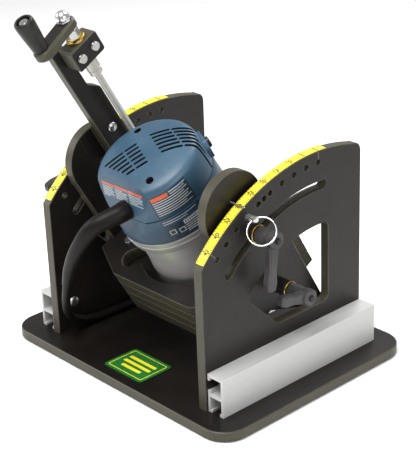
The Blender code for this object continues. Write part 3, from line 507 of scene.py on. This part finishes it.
# coil: (angle at which the change starts, angle at which it ends, radius after it, height after it)
C = Vector((-214.0, 70.0, 0.0))
L1, L2, L3, L4 = 4.1, 12.3, 20.5, 28.7
R1, R2, R3 = 48.1, 39.9, 31.7
steps = [(90, 160, R1, L1), (450, 520, R2, L1), (810, 880, R3, L1), (1110, 1170, R3, L2), (1170, 1240, R2, L2), (1530, 1600, R1, L2), (1830, 1890, R1, L3), (2130, 2190, R2, L3),
         (2360, 2410, R2, L4), (2410, 2433, 49.4, L4)]
coil = []
a = 90.0
while a < 2420.0:
    r, z = 57.4, L1
    for s0, s1, rr, zz in steps:
        f = smooth(s0, s1, a)
        r, z = r + (rr - r) * f, z + (zz - z) * f
    coil.append(C + Vector((r * math.cos(math.radians(a)), r * math.sin(math.radians(a)), z)))
    a += 5.0
last = Vector((-210.0, 56.0, 0.0))
tail = [last + Vector((36.0 * math.cos(math.radians(q)), 36.0 * math.sin(math.radians(q)), L4 + 4.6 * smooth(-60, 0, q))) for q in range(-84, 1, 6)]
cord_pts = even(run[:-1] + coil + tail, 4.6)
for _ in range(14):
    cord_pts = cord_pts[:2] + [p * 0.25 + q * 0.5 + r * 0.25 for p, q, r in zip(cord_pts[1:], cord_pts[2:], cord_pts[3:])] + cord_pts[-2:]
cord_pts = even(cord_pts, 4.6)
cord = finish_mesh("cord", tube(cord_pts, 4.0, 14), M["rubber"], None, WORLD)
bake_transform(cord)
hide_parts("power_cord", "cord_coil", "cord_tail")

# moulded plug with its blades, lying on the coil
px, py, pz = cord_pts[-1]
bm = bmesh.new()
rows = []
for y, wx, wz in ((0.9, 4.6, 4.6), (1.2, 5.4, 5.4), (3.0, 5.6, 5.6), (3.6, 5.0, 5.0), (5.0, 5.0, 5.0), (5.6, 5.8, 5.8), (8.0, 5.8, 5.8), (8.6, 5.2, 5.2), (10.0, 5.2, 5.2), (10.6, 6.1, 6.1),
                  (16.0, 6.4, 6.4), (19.0, 9.0, 7.4), (22.0, 11.6, 8.3), (24.5, 12.8, 8.7), (32.0, 13.1, 8.8), (43.0, 13.2, 8.8), (45.0, 12.9, 8.5), (46.0, 12.2, 8.0)):
    k_ = 0.7 if y > 17 else 1.0
    rows.append([bm.verts.new((wx * math.copysign(abs(math.cos(q)) ** k_, math.cos(q)), y, wz * math.copysign(abs(math.sin(q)) ** k_, math.sin(q))))
                 for q in [2 * math.pi * (k + 0.5) / 40 for k in range(40)]])
for ra, rb in zip(rows, rows[1:]):
    for k in range(40):
        bm.faces.new((ra[k], ra[(k + 1) % 40], rb[(k + 1) % 40], rb[k]))
bm.faces.new(rows[0][::-1])
bm.faces.new(rows[-1])
PLUG = Matrix.Translation((px, py, pz))
plug = finish_mesh("plug_body", bm, M["rubber"], "base", PLUG, ("plug",))
bm = bmesh.new()
for x0 in (-6.4, 6.4):
    tip = [(x0 - 0.75, -1.2), (x0 + 0.75, -1.2), (x0 + 0.75, 5.2), (x0 - 0.75, 5.2)]
    lo = [bm.verts.new((x, 45.5, z)) for x, z in tip]
    mid = [bm.verts.new((x, 60.6, z)) for x, z in tip]
    hi = [bm.verts.new((x0 + (x - x0) * 0.5, 62.0, 2.0 + (z - 2.0) * 0.75)) for x, z in tip]
    for ra, rb in ((lo, mid), (mid, hi)):
        for k in range(4):
            bm.faces.new((ra[k], ra[(k + 1) % 4], rb[(k + 1) % 4], rb[k]))
    bm.faces.new(lo[::-1])
    bm.faces.new(hi)
e_ = lathe([(0, 45.5), (2.3, 45.5), (2.3, 61.5), (1.6, 63.6), (0, 64.0)], 20)
e_.transform(Matrix.Translation((0, 0, -4.4)) @ Matrix.Rotation(math.radians(-90), 4, 'X'))
me_ = bpy.data.meshes.new("t")
e_.to_mesh(me_)
bm.from_mesh(me_)
blades = finish_mesh("plug_blades", bm, M["brass"], "base", PLUG)

# band that ties the coil
TIE_A = math.radians(160.0)
tie_c = C + Vector((40.0 * math.cos(TIE_A), 40.0 * math.sin(TIE_A), 0))
bm = bmesh.new()
tf = aim((tie_c.x, tie_c.y, 0), (math.sin(TIE_A), -math.cos(TIE_A), 0), (math.cos(TIE_A), math.sin(TIE_A), 0))


def rrect(x0, y0, x1, y1, r, n=4):
    out = []
    for cx, cy, a0 in ((x1 - r, y1 - r, 0), (x0 + r, y1 - r, 90), (x0 + r, y0 + r, 180), (x1 - r, y0 + r, 270)):
        for k in range(n + 1):
            q = math.radians(a0 + 90 * k / n)
            out.append((cx + r * math.cos(q), cy + r * math.sin(q)))
    return out


yy = tf.to_3x3() @ Vector((0, 1, 0))
flip = 1.0 if yy.z > 0 else -1.0
outer = rrect(-13.6, 0.05, 12.1, 25.3, 3.6)
inner = rrect(-12.8, 0.75, 11.3, 24.6, 3.0)
for z0, z1, ins in ((-4.2, 4.2, 0),):
    vo = [[bm.verts.new((x, y * flip, z)) for x, y in outer] for z in (z0, z1)]
    vi = [[bm.verts.new((x, y * flip, z)) for x, y in inner] for z in (z0, z1)]
    n_ = len(outer)
    for k in range(n_):
        j = (k + 1) % n_
        bm.faces.new((vo[0][k], vo[0][j], vo[1][j], vo[1][k]))
        bm.faces.new((vi[0][k], vi[1][k], vi[1][j], vi[0][j]))
        bm.faces.new((vo[0][k], vi[0][k], vi[0][j], vo[0][j]))
        bm.faces.new((vo[1][k], vo[1][j], vi[1][j], vi[1][k]))
tie = finish_mesh("coil_tie", bm, M["black"], "base", tf, ("cord_tie",))

# ------------------------------------------------------------------ boards, rails and plain hardware keep their CAD shape
def paint(mat, *names):
    for n in names:
        o = nodes[n]
        o.data.materials.clear()
        o.data.materials.append(mat)


paint(M["plate_z"], "base_plate")
paint(M["plate_x"], "side_plate_left", "side_plate_right", "cradle_plate_left", "cradle_plate_right", "lift_post", "lift_block")
paint(M["plate_x"], "cradle_bar")
paint(M["plate_c"], "carriage_layer_1", "carriage_layer_2", "carriage_layer_3", "carriage_layer_4", "crank_arm")
paint(M["alu_rail"], "rail_left", "rail_right")
paint(M["cast"], "motor_can", "collet_nut")
paint(M["copper"], "motor_field")
paint(M["rod"], "spindle")
paint(M["rod"], "lift_screw")
paint(M["brass_c"], "lift_nut", "crank_washer")
paint(M["brass"], "tilt_washer_left", "tilt_washer_right", "lock_washer")
paint(M["zinc"], "crank_nut", "grip_bolt", "clamp_boss", "post_screw",
      "block_screw_inner", "block_screw_outer", "plate_screw_left_front", "plate_screw_left_rear", "plate_screw_right_front", "plate_screw_right_rear")
paint(M["chrome"], "index_pin", "pin_ring", "acorn_nut", "scale_pointer")
paint(M["black"], "lock_spacer", "cord_tie", "tilt_lever_left_screw", "tilt_lever_right_screw", "lock_lever_screw")
paint(M["lever"], "tilt_lever_left", "tilt_lever_right", "lock_lever")
paint(M["tape"], "angle_scale_left", "angle_scale_right")
paint(M["rubber"], "cord_coil", "cord_tail", "power_cord", "plug", "cord_boot")

# small rounded arrises on the hardware and the boards, so that they catch the light
for n, w in (("crank_arm", 0.5), ("lift_block", 0.5), ("lift_post", 0.4), ("side_plate_left", 0.45), ("side_plate_right", 0.45), ("cradle_plate_left", 0.45), ("cradle_plate_right", 0.45),
             ("base_plate", 0.5), ("rail_left", 0.18), ("rail_right", 0.18), ("crank_nut", 0.3), ("tilt_lever_left", 0.45), ("tilt_lever_right", 0.45), ("lock_lever", 0.45),
             ("carriage_layer_1", 0.3), ("carriage_layer_2", 0.3), ("carriage_layer_3", 0.3), ("carriage_layer_4", 0.3)):
    md = nodes[n].modifiers.new("arris", 'BEVEL')
    md.width, md.segments, md.limit_method, md.angle_limit = w * MM, 2, 'ANGLE', math.radians(38)
    md.harden_normals = True



# ------------------------------------------------------------------ router motor
def interp(table, z):
    for (z0, r0), (z1, r1) in zip(table, table[1:]):
        if min(z0, z1) <= z <= max(z0, z1):
            return r0 + (r1 - r0) * (z - z0) / (z1 - z0)
    return table[-1][1] if abs(z - table[-1][0]) < abs(z - table[0][0]) else table[0][1]


CAP = [(0, 197.5), (31.0, 197.5), (35.4, 194.0), (35.4, 177.2), (49.6, 177.2), (50.0, 177.35), (50.3, 177.9), (50.2, 184.0), (49.2, 196.0), (48.6, 200.5), (48.0, 203.2), (46.9, 205.6),
       (45.2, 207.4), (42.5, 208.8), (38.0, 210.1), (31.0, 211.5), (20.0, 212.9), (10.0, 213.6), (0, 213.8)]
SURF_TOP = [(0, 213.8), (10, 213.6), (20, 212.9), (31, 211.5), (38, 210.1), (42.5, 208.8), (45.2, 207.4), (46.9, 205.6), (48.0, 203.2), (48.6, 200.5), (49.2, 196.0), (50.2, 184.0)]
SIDE = [(205.6, 46.9), (203.2, 48.0), (200.5, 48.6), (196.0, 49.2), (184.0, 50.2), (177.9, 50.3), (176.1, 50.55), (162.0, 51.3), (151.2, 52.0)]


def top_z(r):
    return interp(SURF_TOP, r)


cap = finish_mesh("motor_top_cap", lathe(CAP, 128), M["blue_cap"], None, CRADLE)
boolean(cap, at(prism(bmesh.new(), [(-45, -30), (45, -30), (45, 0), (-45, 0)], -60, 30), Matrix.Translation((0, -34.0, 205.0)) @ Matrix.Rotation(-slope, 4, 'X')))
# brush holder
BR = math.radians(66.0)
boss = prism(bmesh.new(), [(-13.0, 177.4), (13.0, 177.4), (13.0, 187.6), (12.4, 189.0), (9.2, 193.3), (8.2, 193.9), (-8.2, 193.9), (-9.2, 193.3), (-12.4, 189.0), (-13.0, 187.6)], 40.0, 52.0)
boolean(cap, at(boss, Matrix(((-math.sin(BR), 0, math.cos(BR), 0), (math.cos(BR), 0, math.sin(BR), 0), (0, 1, 0, 0), (0, 0, 0, 1)))), 'UNION')


def slot_cutter(path, w):
    """Tool for one vent: follows path on the cap and cuts 4.5 mm under its surface, with rounded ends."""
    pts = [Vector(p) for p in path]
    d0, d1 = (pts[1] - pts[0]).normalized(), (pts[-1] - pts[-2]).normalized()
    left, rightp = [], []
    for i, p in enumerate(pts):
        d = (pts[min(i + 1, len(pts) - 1)] - pts[max(i - 1, 0)]).normalized()
        n = Vector((-d.y, d.x))
        left.append(p + n * w / 2)
        rightp.append(p - n * w / 2)
    a0 = math.atan2(d0.y, d0.x)
    a1 = math.atan2(d1.y, d1.x)
    capa = [pts[0] + Vector((math.cos(a0 + math.radians(q)), math.sin(a0 + math.radians(q)))) * w / 2 for q in (120, 150, 180, 210, 240)]
    capb = [pts[-1] + Vector((math.cos(a1 + math.radians(q)), math.sin(a1 + math.radians(q)))) * w / 2 for q in (-60, -30, 0, 30, 60)]
    loop = left[::-1] + capa + rightp + capb
    bm = bmesh.new()
    lo = [bm.verts.new((p.x, p.y, top_z(p.length) - 3.2 - (3.0 if p.length > 44 else 0))) for p in loop]
    hi = [bm.verts.new((p.x, p.y, 222.0)) for p in loop]
    n = len(loop)
    for i in range(n):
        j = (i + 1) % n
        bm.faces.new((lo[i], lo[j], hi[j], hi[i]))
    bm.faces.new(hi)
    cl = bm.verts.new((sum(p.x for p in loop) / n, sum(p.y for p in loop) / n, min(v.co.z for v in lo)))
    for i in range(n):
        bm.faces.new((lo[(i + 1) % n], lo[i], cl))
    return bm


def lerp2(a, b, s):
    return Vector((a[0] + (b[0] - a[0]) * s, a[1] + (b[1] - a[1]) * s))


tools = []
for i in range(6):
    s = i / 5
    p, q = lerp2((-28.7, -23.6), (2.8, -24.2), s), lerp2((-14.8, 5.3), (11.8, -7.1), s)
    brk = (0.62, 0.58, 0.55, 0.52, 0.48, 0.42)[i]
    L = (q - p).length
    g = 1.9 / L
    tools.append(slot_cutter([lerp2(p, q, 0.0), lerp2(p, q, brk - g)], 2.7))
    tools.append(slot_cutter([lerp2(p, q, brk + g), lerp2(p, q, 1.0)], 2.7))
for i in range(6):
    s = i / 5
    p, q = lerp2((-8.8, 19.8), (17.7, 7.8), s), lerp2((18.1, 41.7), (39.6, 29.2), s)
    d = (q - p)
    nrm = Vector((-d.y, d.x)).normalized()

    def bow(f):
        return p + d * f + nrm * (1.7 * 4 * f * (1 - f))
    brk = (0.52, 0.54, 0.56, 0.58, 0.60, 0.62)[i]
    g = 1.9 / d.length
    tools.append(slot_cutter([bow(f * (brk - g)) for f in (0, .25, .5, .75, 1)], 2.7))
    tools.append(slot_cutter([bow(brk + g + f * (1.03 - brk - g)) for f in (0, .25, .5, .75, 1)], 2.7))
# the faces cut for the vents and the screw holes take the vent colour: painted shade in their depth
for tl in tools:
    boolean(cap, tl, mat=M["vent"])
for hx, hy in ((28.0, -21.5), (-28.5, 20.5)):
    rr = math.hypot(hx, hy)
    boolean(cap, at(lathe([(0, top_z(rr) - 6.5), (3.6, top_z(rr) - 6.5), (3.6, top_z(rr) + 6), (0, top_z(rr) + 6)], 32), Matrix.Translation((hx, hy, 0))), mat=M["vent"])
sharpen(cap, 28)
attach(cap, "carriage")
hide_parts("motor_cap")
for k_, (hx, hy) in enumerate(((28.0, -21.5), (-28.5, 20.5))):
    z_ = top_z(math.hypot(hx, hy)) - 6.4
    b_ = lathe(rounded([(0, z_), (3.1, z_), (3.1, z_ + 1.4), (2.4, z_ + 2.4), (1.6, z_ + 2.5), (1.4, z_ + 1.2), (0, z_ + 1.0)], 0.3), 28)
    finish_mesh("cap_screw_%d" % (k_ + 1), at(b_, Matrix.Translation((hx, hy, 0))), M["black"], "carriage", CRADLE)

HOUSE = [(37.5, 150.2), (37.5, 176.6), (49.9, 176.6), (50.4, 176.45), (50.6, 175.9), (51.0, 169.0), (51.3, 162.0), (51.8, 153.5), (51.95, 151.6), (51.8, 150.7), (51.3, 150.2)]
house = finish_mesh("motor_drum", lathe(HOUSE, 128), M["blue"], None, CRADLE)
boolean(house, at(prism(bmesh.new(), [(-45, -30), (45, -30), (45, 0), (-45, 0)], -60, 30), Matrix.Translation((0, -34.0, 205.0)) @ Matrix.Rotation(-slope, 4, 'X')))
sharpen(house, 28)
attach(house, "carriage")
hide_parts("motor_housing")

# brush cap with its screwdriver slot
b_ = lathe(rounded([(0, 0), (5.3, 0), (5.3, 2.3), (4.7, 3.0), (0, 3.0)], 0.4), 40)
bc = finish_mesh("brush_cover", at(b_, Matrix(((-math.sin(BR), 0, math.cos(BR), math.cos(BR) * 52.4), (math.cos(BR), 0, math.sin(BR), math.sin(BR) * 52.4), (0, 1, 0, 184.5), (0, 0, 0, 1)))),
                 M["black"], None, CRADLE)
# the faces of the screwdriver slot are painted shade
boolean(bc, at(prism(bmesh.new(), [(-6, -0.6), (6, -0.6), (6, 0.6), (-6, 0.6)], 1.9, 5.0),
               Matrix(((-math.sin(BR), 0, math.cos(BR), math.cos(BR) * 52.4), (math.cos(BR), 0, math.sin(BR), math.sin(BR) * 52.4), (0, 1, 0, 184.5), (0, 0, 0, 1)))), mat=M["vent"])
sharpen(bc)
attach(bc, "carriage")
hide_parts("brush_cap")

# router base: turned ring, neck and sleeve, with the clamp slit and its boss
BASE = [(44.0, 62.0), (44.0, 133.0), (47.9, 135.0), (47.9, 149.7), (51.1, 149.7), (51.7, 149.1), (51.6, 148.2), (51.2, 144.2), (51.45, 143.9), (51.4, 143.2), (50.9, 142.9), (50.3, 137.2), (49.8, 136.2),
        (49.0, 135.6), (46.6, 134.4), (45.8, 133.2), (45.5, 124.0), (45.4, 113.0), (45.7, 108.0), (46.4, 101.0), (47.0, 97.0), (47.2, 95.0), (47.2, 62.0)]
rb = finish_mesh("router_sleeve", lathe(BASE, 128), M["cast"], None, CRADLE)
a_ = math.radians(-118.0)
# the faces of the clamp slit and the boss hole are painted shade
boolean(rb, at(prism(bmesh.new(), [(40, -0.9), (56, -0.9), (56, 0.9), (40, 0.9)], 98.0, 112.0), Matrix.Rotation(a_, 4, 'Z')), mat=M["vent"])
boolean(rb, at(lathe([(0, 40), (2.4, 40), (2.4, 56), (0, 56)], 24), Matrix.Rotation(a_, 4, 'Z') @ Matrix.Translation((0, 0, 98.5)) @ Matrix.Rotation(math.radians(90), 4, 'Y')), mat=M["vent"])
sharpen(rb, 24)
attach(rb, "carriage")
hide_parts("router_base")


# labels: thin films that follow the shell, with blank bars where print would be
def flat_patch(bm, x0, x1, v0, v1, lift, idx, skew=0.0):
    n = Vector((0, -math.cos(slope), math.sin(slope)))
    dn = Vector((0, -math.sin(slope), -math.cos(slope)))
    o = Vector((0, -34.0, 205.0)) + n * lift
    f = bm.faces.new([bm.verts.new(o + Vector((x, 0, 0)) + dn * v) for x, v in ((x0, v0), (x1, v0), (x1 - skew, v1), (x0 + skew, v1))])
    f.material_index = idx


def side_patch(bm, a0, a1, z0, z1, lift, idx):
    na = max(1, int(abs(a1 - a0) / 2.5 + 0.5))
    nz = max(1, int(abs(z1 - z0) / 5.0 + 0.5))
    g = []
    for i in range(na + 1):
        q = math.radians(a0 + (a1 - a0) * i / na)
        col_ = []
        for j in range(nz + 1):
            z = z0 + (z1 - z0) * j / nz
            r = interp(SIDE, z) + lift
            col_.append(bm.verts.new((r * math.cos(q), r * math.sin(q), z)))
        g.append(col_)
    for i in range(na):
        for j in range(nz):
            f = bm.faces.new((g[i][j], g[i + 1][j], g[i + 1][j + 1], g[i][j + 1]))
            f.material_index = idx


def mats_of(*names):
    return [M[n] for n in names]


bm = bmesh.new()
flat_patch(bm, -28.9, 26.6, 1.0, 16.2, 0.05, 0, 1.0)
for x0, x1, v in ((-28.2, -12.6, 1.9), (-11.6, 5.6, 1.5), (6.6, 25.8, 1.7)):
    flat_patch(bm, x0, x1, v, v + 2.3, 0.10, 1)
    for k in range(6):
        y = v + 3.4 + k * 1.75
        f = (0.96, 0.88, 1.0, 0.92, 0.97, 0.62)[(k + int(x1)) % 6]
        flat_patch(bm, x0 + 0.5, x0 + (x1 - x0) * f - 0.3, y, y + 0.75, 0.10, 2)
finish_mesh("front_label", bm, None, "carriage", CRADLE, sharp=None, mats=mats_of("label_blue", "orange", "white"))
bm = bmesh.new()
side_patch(bm, -46.5, -2.5, 179.2, 203.0, 0.06, 0)
side_patch(bm, -45.0, -26.5, 197.6, 201.3, 0.12, 1)
for k in range(9):
    z = 200.2 - k * 2.35
    x0 = -24.5 if z > 196.5 else -45.0
    f = (-4.2, -6.8, -4.6, -9.5, -5.2, -7.5, -4.4, -12.0, -6.0)[k]
    side_patch(bm, x0, f, z, z + 0.85, 0.12, 2)
finish_mesh("side_label_upper", bm, None, "carriage", CRADLE, sharp=None, mats=mats_of("label", "orange", "white"))
bm = bmesh.new()
side_patch(bm, -48.0, -3.0, 151.6, 175.4, 0.06, 0)
for z, a0, a1 in ((173.0, -46.0, -8.0), (170.6, -46.0, -20.0)):
    side_patch(bm, a0, a1, z, z + 0.8, 0.12, 2)
side_patch(bm, -27.0, -8.0, 163.2, 167.6, 0.12, 2)
for k in range(6):
    side_patch(bm, -25.5 + k * 2.4, -24.2 + k * 2.4, 164.5, 166.3, 0.16, 0)
for a0, z0, h in ((-44.0, 158.0, 5.0), (-34.5, 156.6, 5.0)):
    side_patch(bm, a0, a0 + 6.2, z0, z0 + h, 0.12, 2)
    side_patch(bm, a0 + 0.8, a0 + 5.4, z0 + 0.7, z0 + h - 0.7, 0.16, 0)
for k in range(4):
    side_patch(bm, -27.0, (-8.0, -12.0, -9.5, -15.0)[k], 161.0 - k * 2.1, 161.8 - k * 2.1, 0.12, 2)
finish_mesh("side_label_lower", bm, None, "carriage", CRADLE, sharp=None, mats=mats_of("label", "orange", "white"))

# ------------------------------------------------------------------ angle scales: ticks and numbers on the yellow tapes
RIM = 183.1 + 0.78


def rim_point(x, deg, off=0.0):
    q = math.radians(deg)
    r = RIM + off
    return Vector((x, PY - r * math.sin(q), PZ + r * math.cos(q)))


def rim_patch(bm, x0, x1, d0, d1, off=0.03):
    n = max(1, int(abs(d1 - d0) / 1.5 + 0.5))
    for k in range(n):
        a, b = d0 + (d1 - d0) * k / n, d0 + (d1 - d0) * (k + 1) / n
        bm.faces.new([bm.verts.new(rim_point(x, d, off)) for x, d in ((x0, a), (x1, a), (x1, b), (x0, b))])


def digits(text):
    cu = bpy.data.curves.new("number", 'FONT')
    cu.body = text
    cu.size = 6.0
    cu.align_x, cu.align_y = 'CENTER', 'CENTER'
    cu.offset = 0.14
    ob = bpy.data.objects.new("number", cu)
    bpy.context.scene.collection.objects.link(ob)
    bpy.context.view_layer.update()
    me = bpy.data.meshes.new_from_object(ob.evaluated_get(bpy.context.evaluated_depsgraph_get()))
    out = bmesh.new()
    out.from_mesh(me)
    bpy.data.objects.remove(ob)
    return out


for side, x_mid in (("right", 102.35), ("left", -102.35)):
    bm = bmesh.new()
    deg = -3.0
    while deg <= 48.5:
        five = abs(deg / 5 - round(deg / 5)) < 0.01
        one = abs(deg - round(deg)) < 0.01
        ln = 2.6 if five else (1.9 if one else 1.1)
        wd = 0.15 if five else 0.085
        for e0, sg in ((x_mid - 4.6, 1), (x_mid + 4.6, -1)):
            rim_patch(bm, e0, e0 + sg * ln, deg - wd, deg + wd)
        deg += 0.5
    for n in range(0, 50, 5):
        d = digits(str(n))
        for v in d.verts:
            # text runs along the arc and its tops face outwards
            along, tall = v.co.x, v.co.y
            v.co = rim_point(x_mid + tall, n - math.degrees(along / RIM), 0.03)
        me_ = bpy.data.meshes.new("t")
        d.to_mesh(me_)
        d.free()
        bm.from_mesh(me_)
    finish_mesh("scale_marks_" + side, bm, M["ink"], "base", WORLD, sharp=None)
# scribed lines from the rim to the end holes
bm = bmesh.new()
for sg, faces in ((1, (107.13,)), (-1, (-107.13,))):
    for x in faces:
        for deg in (0.0, 45.0):
            vs = []
            for r, w in ((182.4, -0.28), (182.4, 0.28), (175.6, 0.28), (175.6, -0.28)):
                q = math.radians(deg)
                vs.append(bm.verts.new((x, PY - r * math.sin(q) + w * math.cos(q), PZ + r * math.cos(q) + w * math.sin(q))))
            bm.faces.new(vs)
finish_mesh("scribed_lines", bm, M["scribe"], "base", WORLD, sharp=None)

# ------------------------------------------------------------------ badge: plain panel with bars, no mark
bm = bmesh.new()
BZ = 9.525 + 0.3


def plate2(bm, outline, z0, z1, idx):
    prism(bm, outline, z0, z1, idx)


plate2(bm, rrect(-22.5, -106.0, 28.5, -67.4, 3.0, 5), BZ, BZ + 0.42, 0)
plate2(bm, rrect(-19.6, -103.1, 25.6, -70.3, 1.6, 4), BZ + 0.40, BZ + 0.47, 1)
plate2(bm, rrect(-18.8, -102.3, 24.8, -71.1, 1.2, 4), BZ + 0.45, BZ + 0.49, 0)
for k, (x0, x1) in enumerate(((-14.5, 20.5), (-14.5, 20.5), (-9.5, 15.5))):
    y = -80.2 - k * 7.2
    plate2(bm, rrect(x0, y - 1.9, x1, y + 1.9, 0.7, 3), BZ + 0.47, BZ + 0.50, 1)
finish_mesh("badge_panel", bm, None, "base", WORLD, ("badge",), sharp=30, mats=mats_of("green", "badge_yellow"))

# ------------------------------------------------------------------ crank: grip, ball nut and bolt
GX, GY = -66.0 + 5.0, 34.5 - 35.0
grip = rounded([(2.7, 321.1), (6.4, 321.1), (7.1, 322.0), (7.25, 324.0), (7.6, 328.5), (8.1, 334.5), (8.6, 341.0), (8.95, 347.0), (9.0, 350.2), (8.6, 352.4), (7.6, 353.55), (6.5, 353.55), (6.1, 352.7), (6.05, 348.7), (2.7, 348.7)], 0.5)
finish_mesh("crank_handle", at(lathe(grip, 64), Matrix.Translation((GX, GY, 0))), M["black"], "grip", CRADLE, ("crank_grip",))
bolt = rounded([(0, 340.0), (2.3, 340.0), (2.3, 349.1), (4.7, 349.1), (4.7, 351.4), (4.2, 352.3), (2.4, 352.35), (2.2, 350.6), (0, 350.4)], 0.25)
finish_mesh("grip_cap_screw", at(lathe(bolt, 36), Matrix.Translation((GX, GY, 0))), M["lever"], "crank", CRADLE)
ball = [(0, 322.2)]
bm = bmesh.new()
prism(bm, [(6.9 * math.cos(math.radians(60 * k + 10)), 6.9 * math.sin(math.radians(60 * k + 10))) for k in range(6)], 321.1, 322.9)
bmesh.ops.bevel(bm, geom=[e for e in bm.edges], offset=0.25, segments=2, affect='EDGES')
prof = [(0, 322.0), (5.0, 322.0), (5.2, 322.9)]
for k in range(0, 19):
    q = math.radians(-34 + 124 * k / 18)
    prof.append((6.25 * math.cos(q), 324.35 + 2.1 * 0 + 6.25 * math.sin(q)))
prof[-1] = (0, 330.58)
prof = [p for p in prof if p[1] <= 330.6]
me_ = bpy.data.meshes.new("t")
lathe(prof, 48).to_mesh(me_)
bm.from_mesh(me_)
finish_mesh("ball_nut", at(bm, Matrix.Translation((-66.0, 34.5, 0))), M["chrome"], "crank", CRADLE, ("acorn_nut",), sharp=30)

# pull ring: split key ring of two turns beside each other
PIN_Y, PIN_Z = PY - 172.57 * ST, PZ + 172.57 * CT
hang = Vector((0.763, -0.084, -0.641)).normalized()
face = Vector((0.464, -0.618, 0.634))
face = (face - hang * face.dot(hang)).normalized()
tang = face.cross(hang)
pts = []
for k in range(0, 121):
    q = 2 * math.pi * k / 64
    s = (k / 120 - 0.5) * 1.0
    c_ = Vector((115.2, PIN_Y, PIN_Z)) + hang * 12.3
    pts.append(c_ + (hang * math.cos(q) + tang * math.sin(q)) * 12.3 + face * s * 1.1)
finish_mesh("pull_ring_wire", tube(pts, 0.72, 14), M["chrome"], "pull_ring", WORLD, ("pin_ring",), sharp=40)


# ------------------------------------------------------------------ screw heads with sockets
def head(name, loc, axis, r, h, body, frame_m, socket="hex"):
    """Domed head that covers the plain CAD head, with a hex socket or a cross recess."""
    prof = [(0, 0.0), (r, 0.0), (r, h * 0.22)]
    for k in range(1, 10):
        q = math.radians(90 * k / 9)
        prof.append((r * math.cos(q) ** 0.75 if k < 9 else 0, h * 0.22 + h * 0.78 * math.sin(q)))
    ob = finish_mesh(name, at(lathe(prof, 48), aim(loc, axis)), M["zinc"], None, frame_m)
    # the socket and cross recess faces take the black plastic colour: painted shade inside the recess
    if socket == "hex":
        hx = [(r * 0.42 * math.cos(math.radians(60 * k)), r * 0.42 * math.sin(math.radians(60 * k))) for k in range(6)]
        boolean(ob, at(prism(bmesh.new(), hx, h * 0.35, h + 2), aim(loc, axis)), frame_m=frame_m, mat=M["black"])
    else:
        for k in (0, 90):
            w, l = r * 0.11, r * 0.52
            pr = [(-l, -w), (l, -w), (l, w), (-l, w)]
            boolean(ob, at(prism(bmesh.new(), pr, h * 0.38, h + 2), aim(loc, axis) @ Matrix.Rotation(math.radians(k + 20), 4, 'Z')), frame_m=frame_m, mat=M["black"])
    sharpen(ob)
    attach(ob, body)


head("block_screw_head_inner", (-55.65, 24.7, 287.6), (1, 0, 0), 4.35, 2.75, "cradle", CRADLE)
head("block_screw_head_outer", (-55.65, 41.2, 287.6), (1, 0, 0), 4.35, 2.75, "cradle", CRADLE)
head("post_screw_head", (-74.5, 22.5, 198.5), (1, 0, 0), 4.75, 3.1, "cradle", CRADLE)
for sd, sg in (("right", 1), ("left", -1)):
    for wh, y in (("front", -79.5), ("rear", 79.5)):
        head("plate_screw_head_%s_%s" % (sd, wh), (97.35 * sg, y, 37.0), (-sg, 0, 0), 5.75, 2.5, "base", WORLD, "cross")


# ------------------------------------------------------------------ stage and light
bm = bmesh.new()
bmesh.ops.create_grid(bm, x_segments=8, y_segments=8, size=3.0)
for v in bm.verts:
    v.co.z = -0.0006
me = bpy.data.meshes.new("floor")
bm.to_mesh(me)
floor = bpy.data.objects.new("floor", me)
bpy.context.scene.collection.objects.link(floor)
t = Mat("floor_paper")
n = t.noise(t.pos(), 40.0, 3.0)
me.materials.append(t.done(t.mix(n, (0.86, 0.86, 0.86), (0.90, 0.90, 0.90)), 0.85))
world = bpy.data.worlds.new("studio")
bpy.context.scene.world = world
world.use_nodes = True
world.node_tree.nodes["Background"].inputs["Color"].default_value = (1.0, 1.0, 1.0, 1.0)
world.node_tree.nodes["Background"].inputs["Strength"].default_value = 0.40


def area(name, loc, target, size, power, size_y=None):
    li = bpy.data.lights.new(name, 'AREA')
    li.energy, li.size = power, size
    if size_y:
        li.shape, li.size_y = 'RECTANGLE', size_y
    ob = bpy.data.objects.new(name, li)
    bpy.context.scene.collection.objects.link(ob)
    z = (Vector(loc) - Vector(target)).normalized()
    ob.matrix_world = aim(loc, z)
    return ob


area("key", (0.1, -0.7, 1.5), (0, 0, 0.12), 0.9, 27.0)
area("left_fill", (-1.3, -0.8, 0.8), (0, 0, 0.15), 0.8, 8.0)
area("right_fill", (1.5, -0.2, 0.7), (0, 0, 0.15), 0.8, 9.0)
area("back_top", (-0.2, 0.9, 1.3), (0, 0, 0.2), 0.8, 14.0)
bpy.context.scene.view_settings.view_transform = 'Standard'
bpy.context.scene.view_settings.look = 'None'
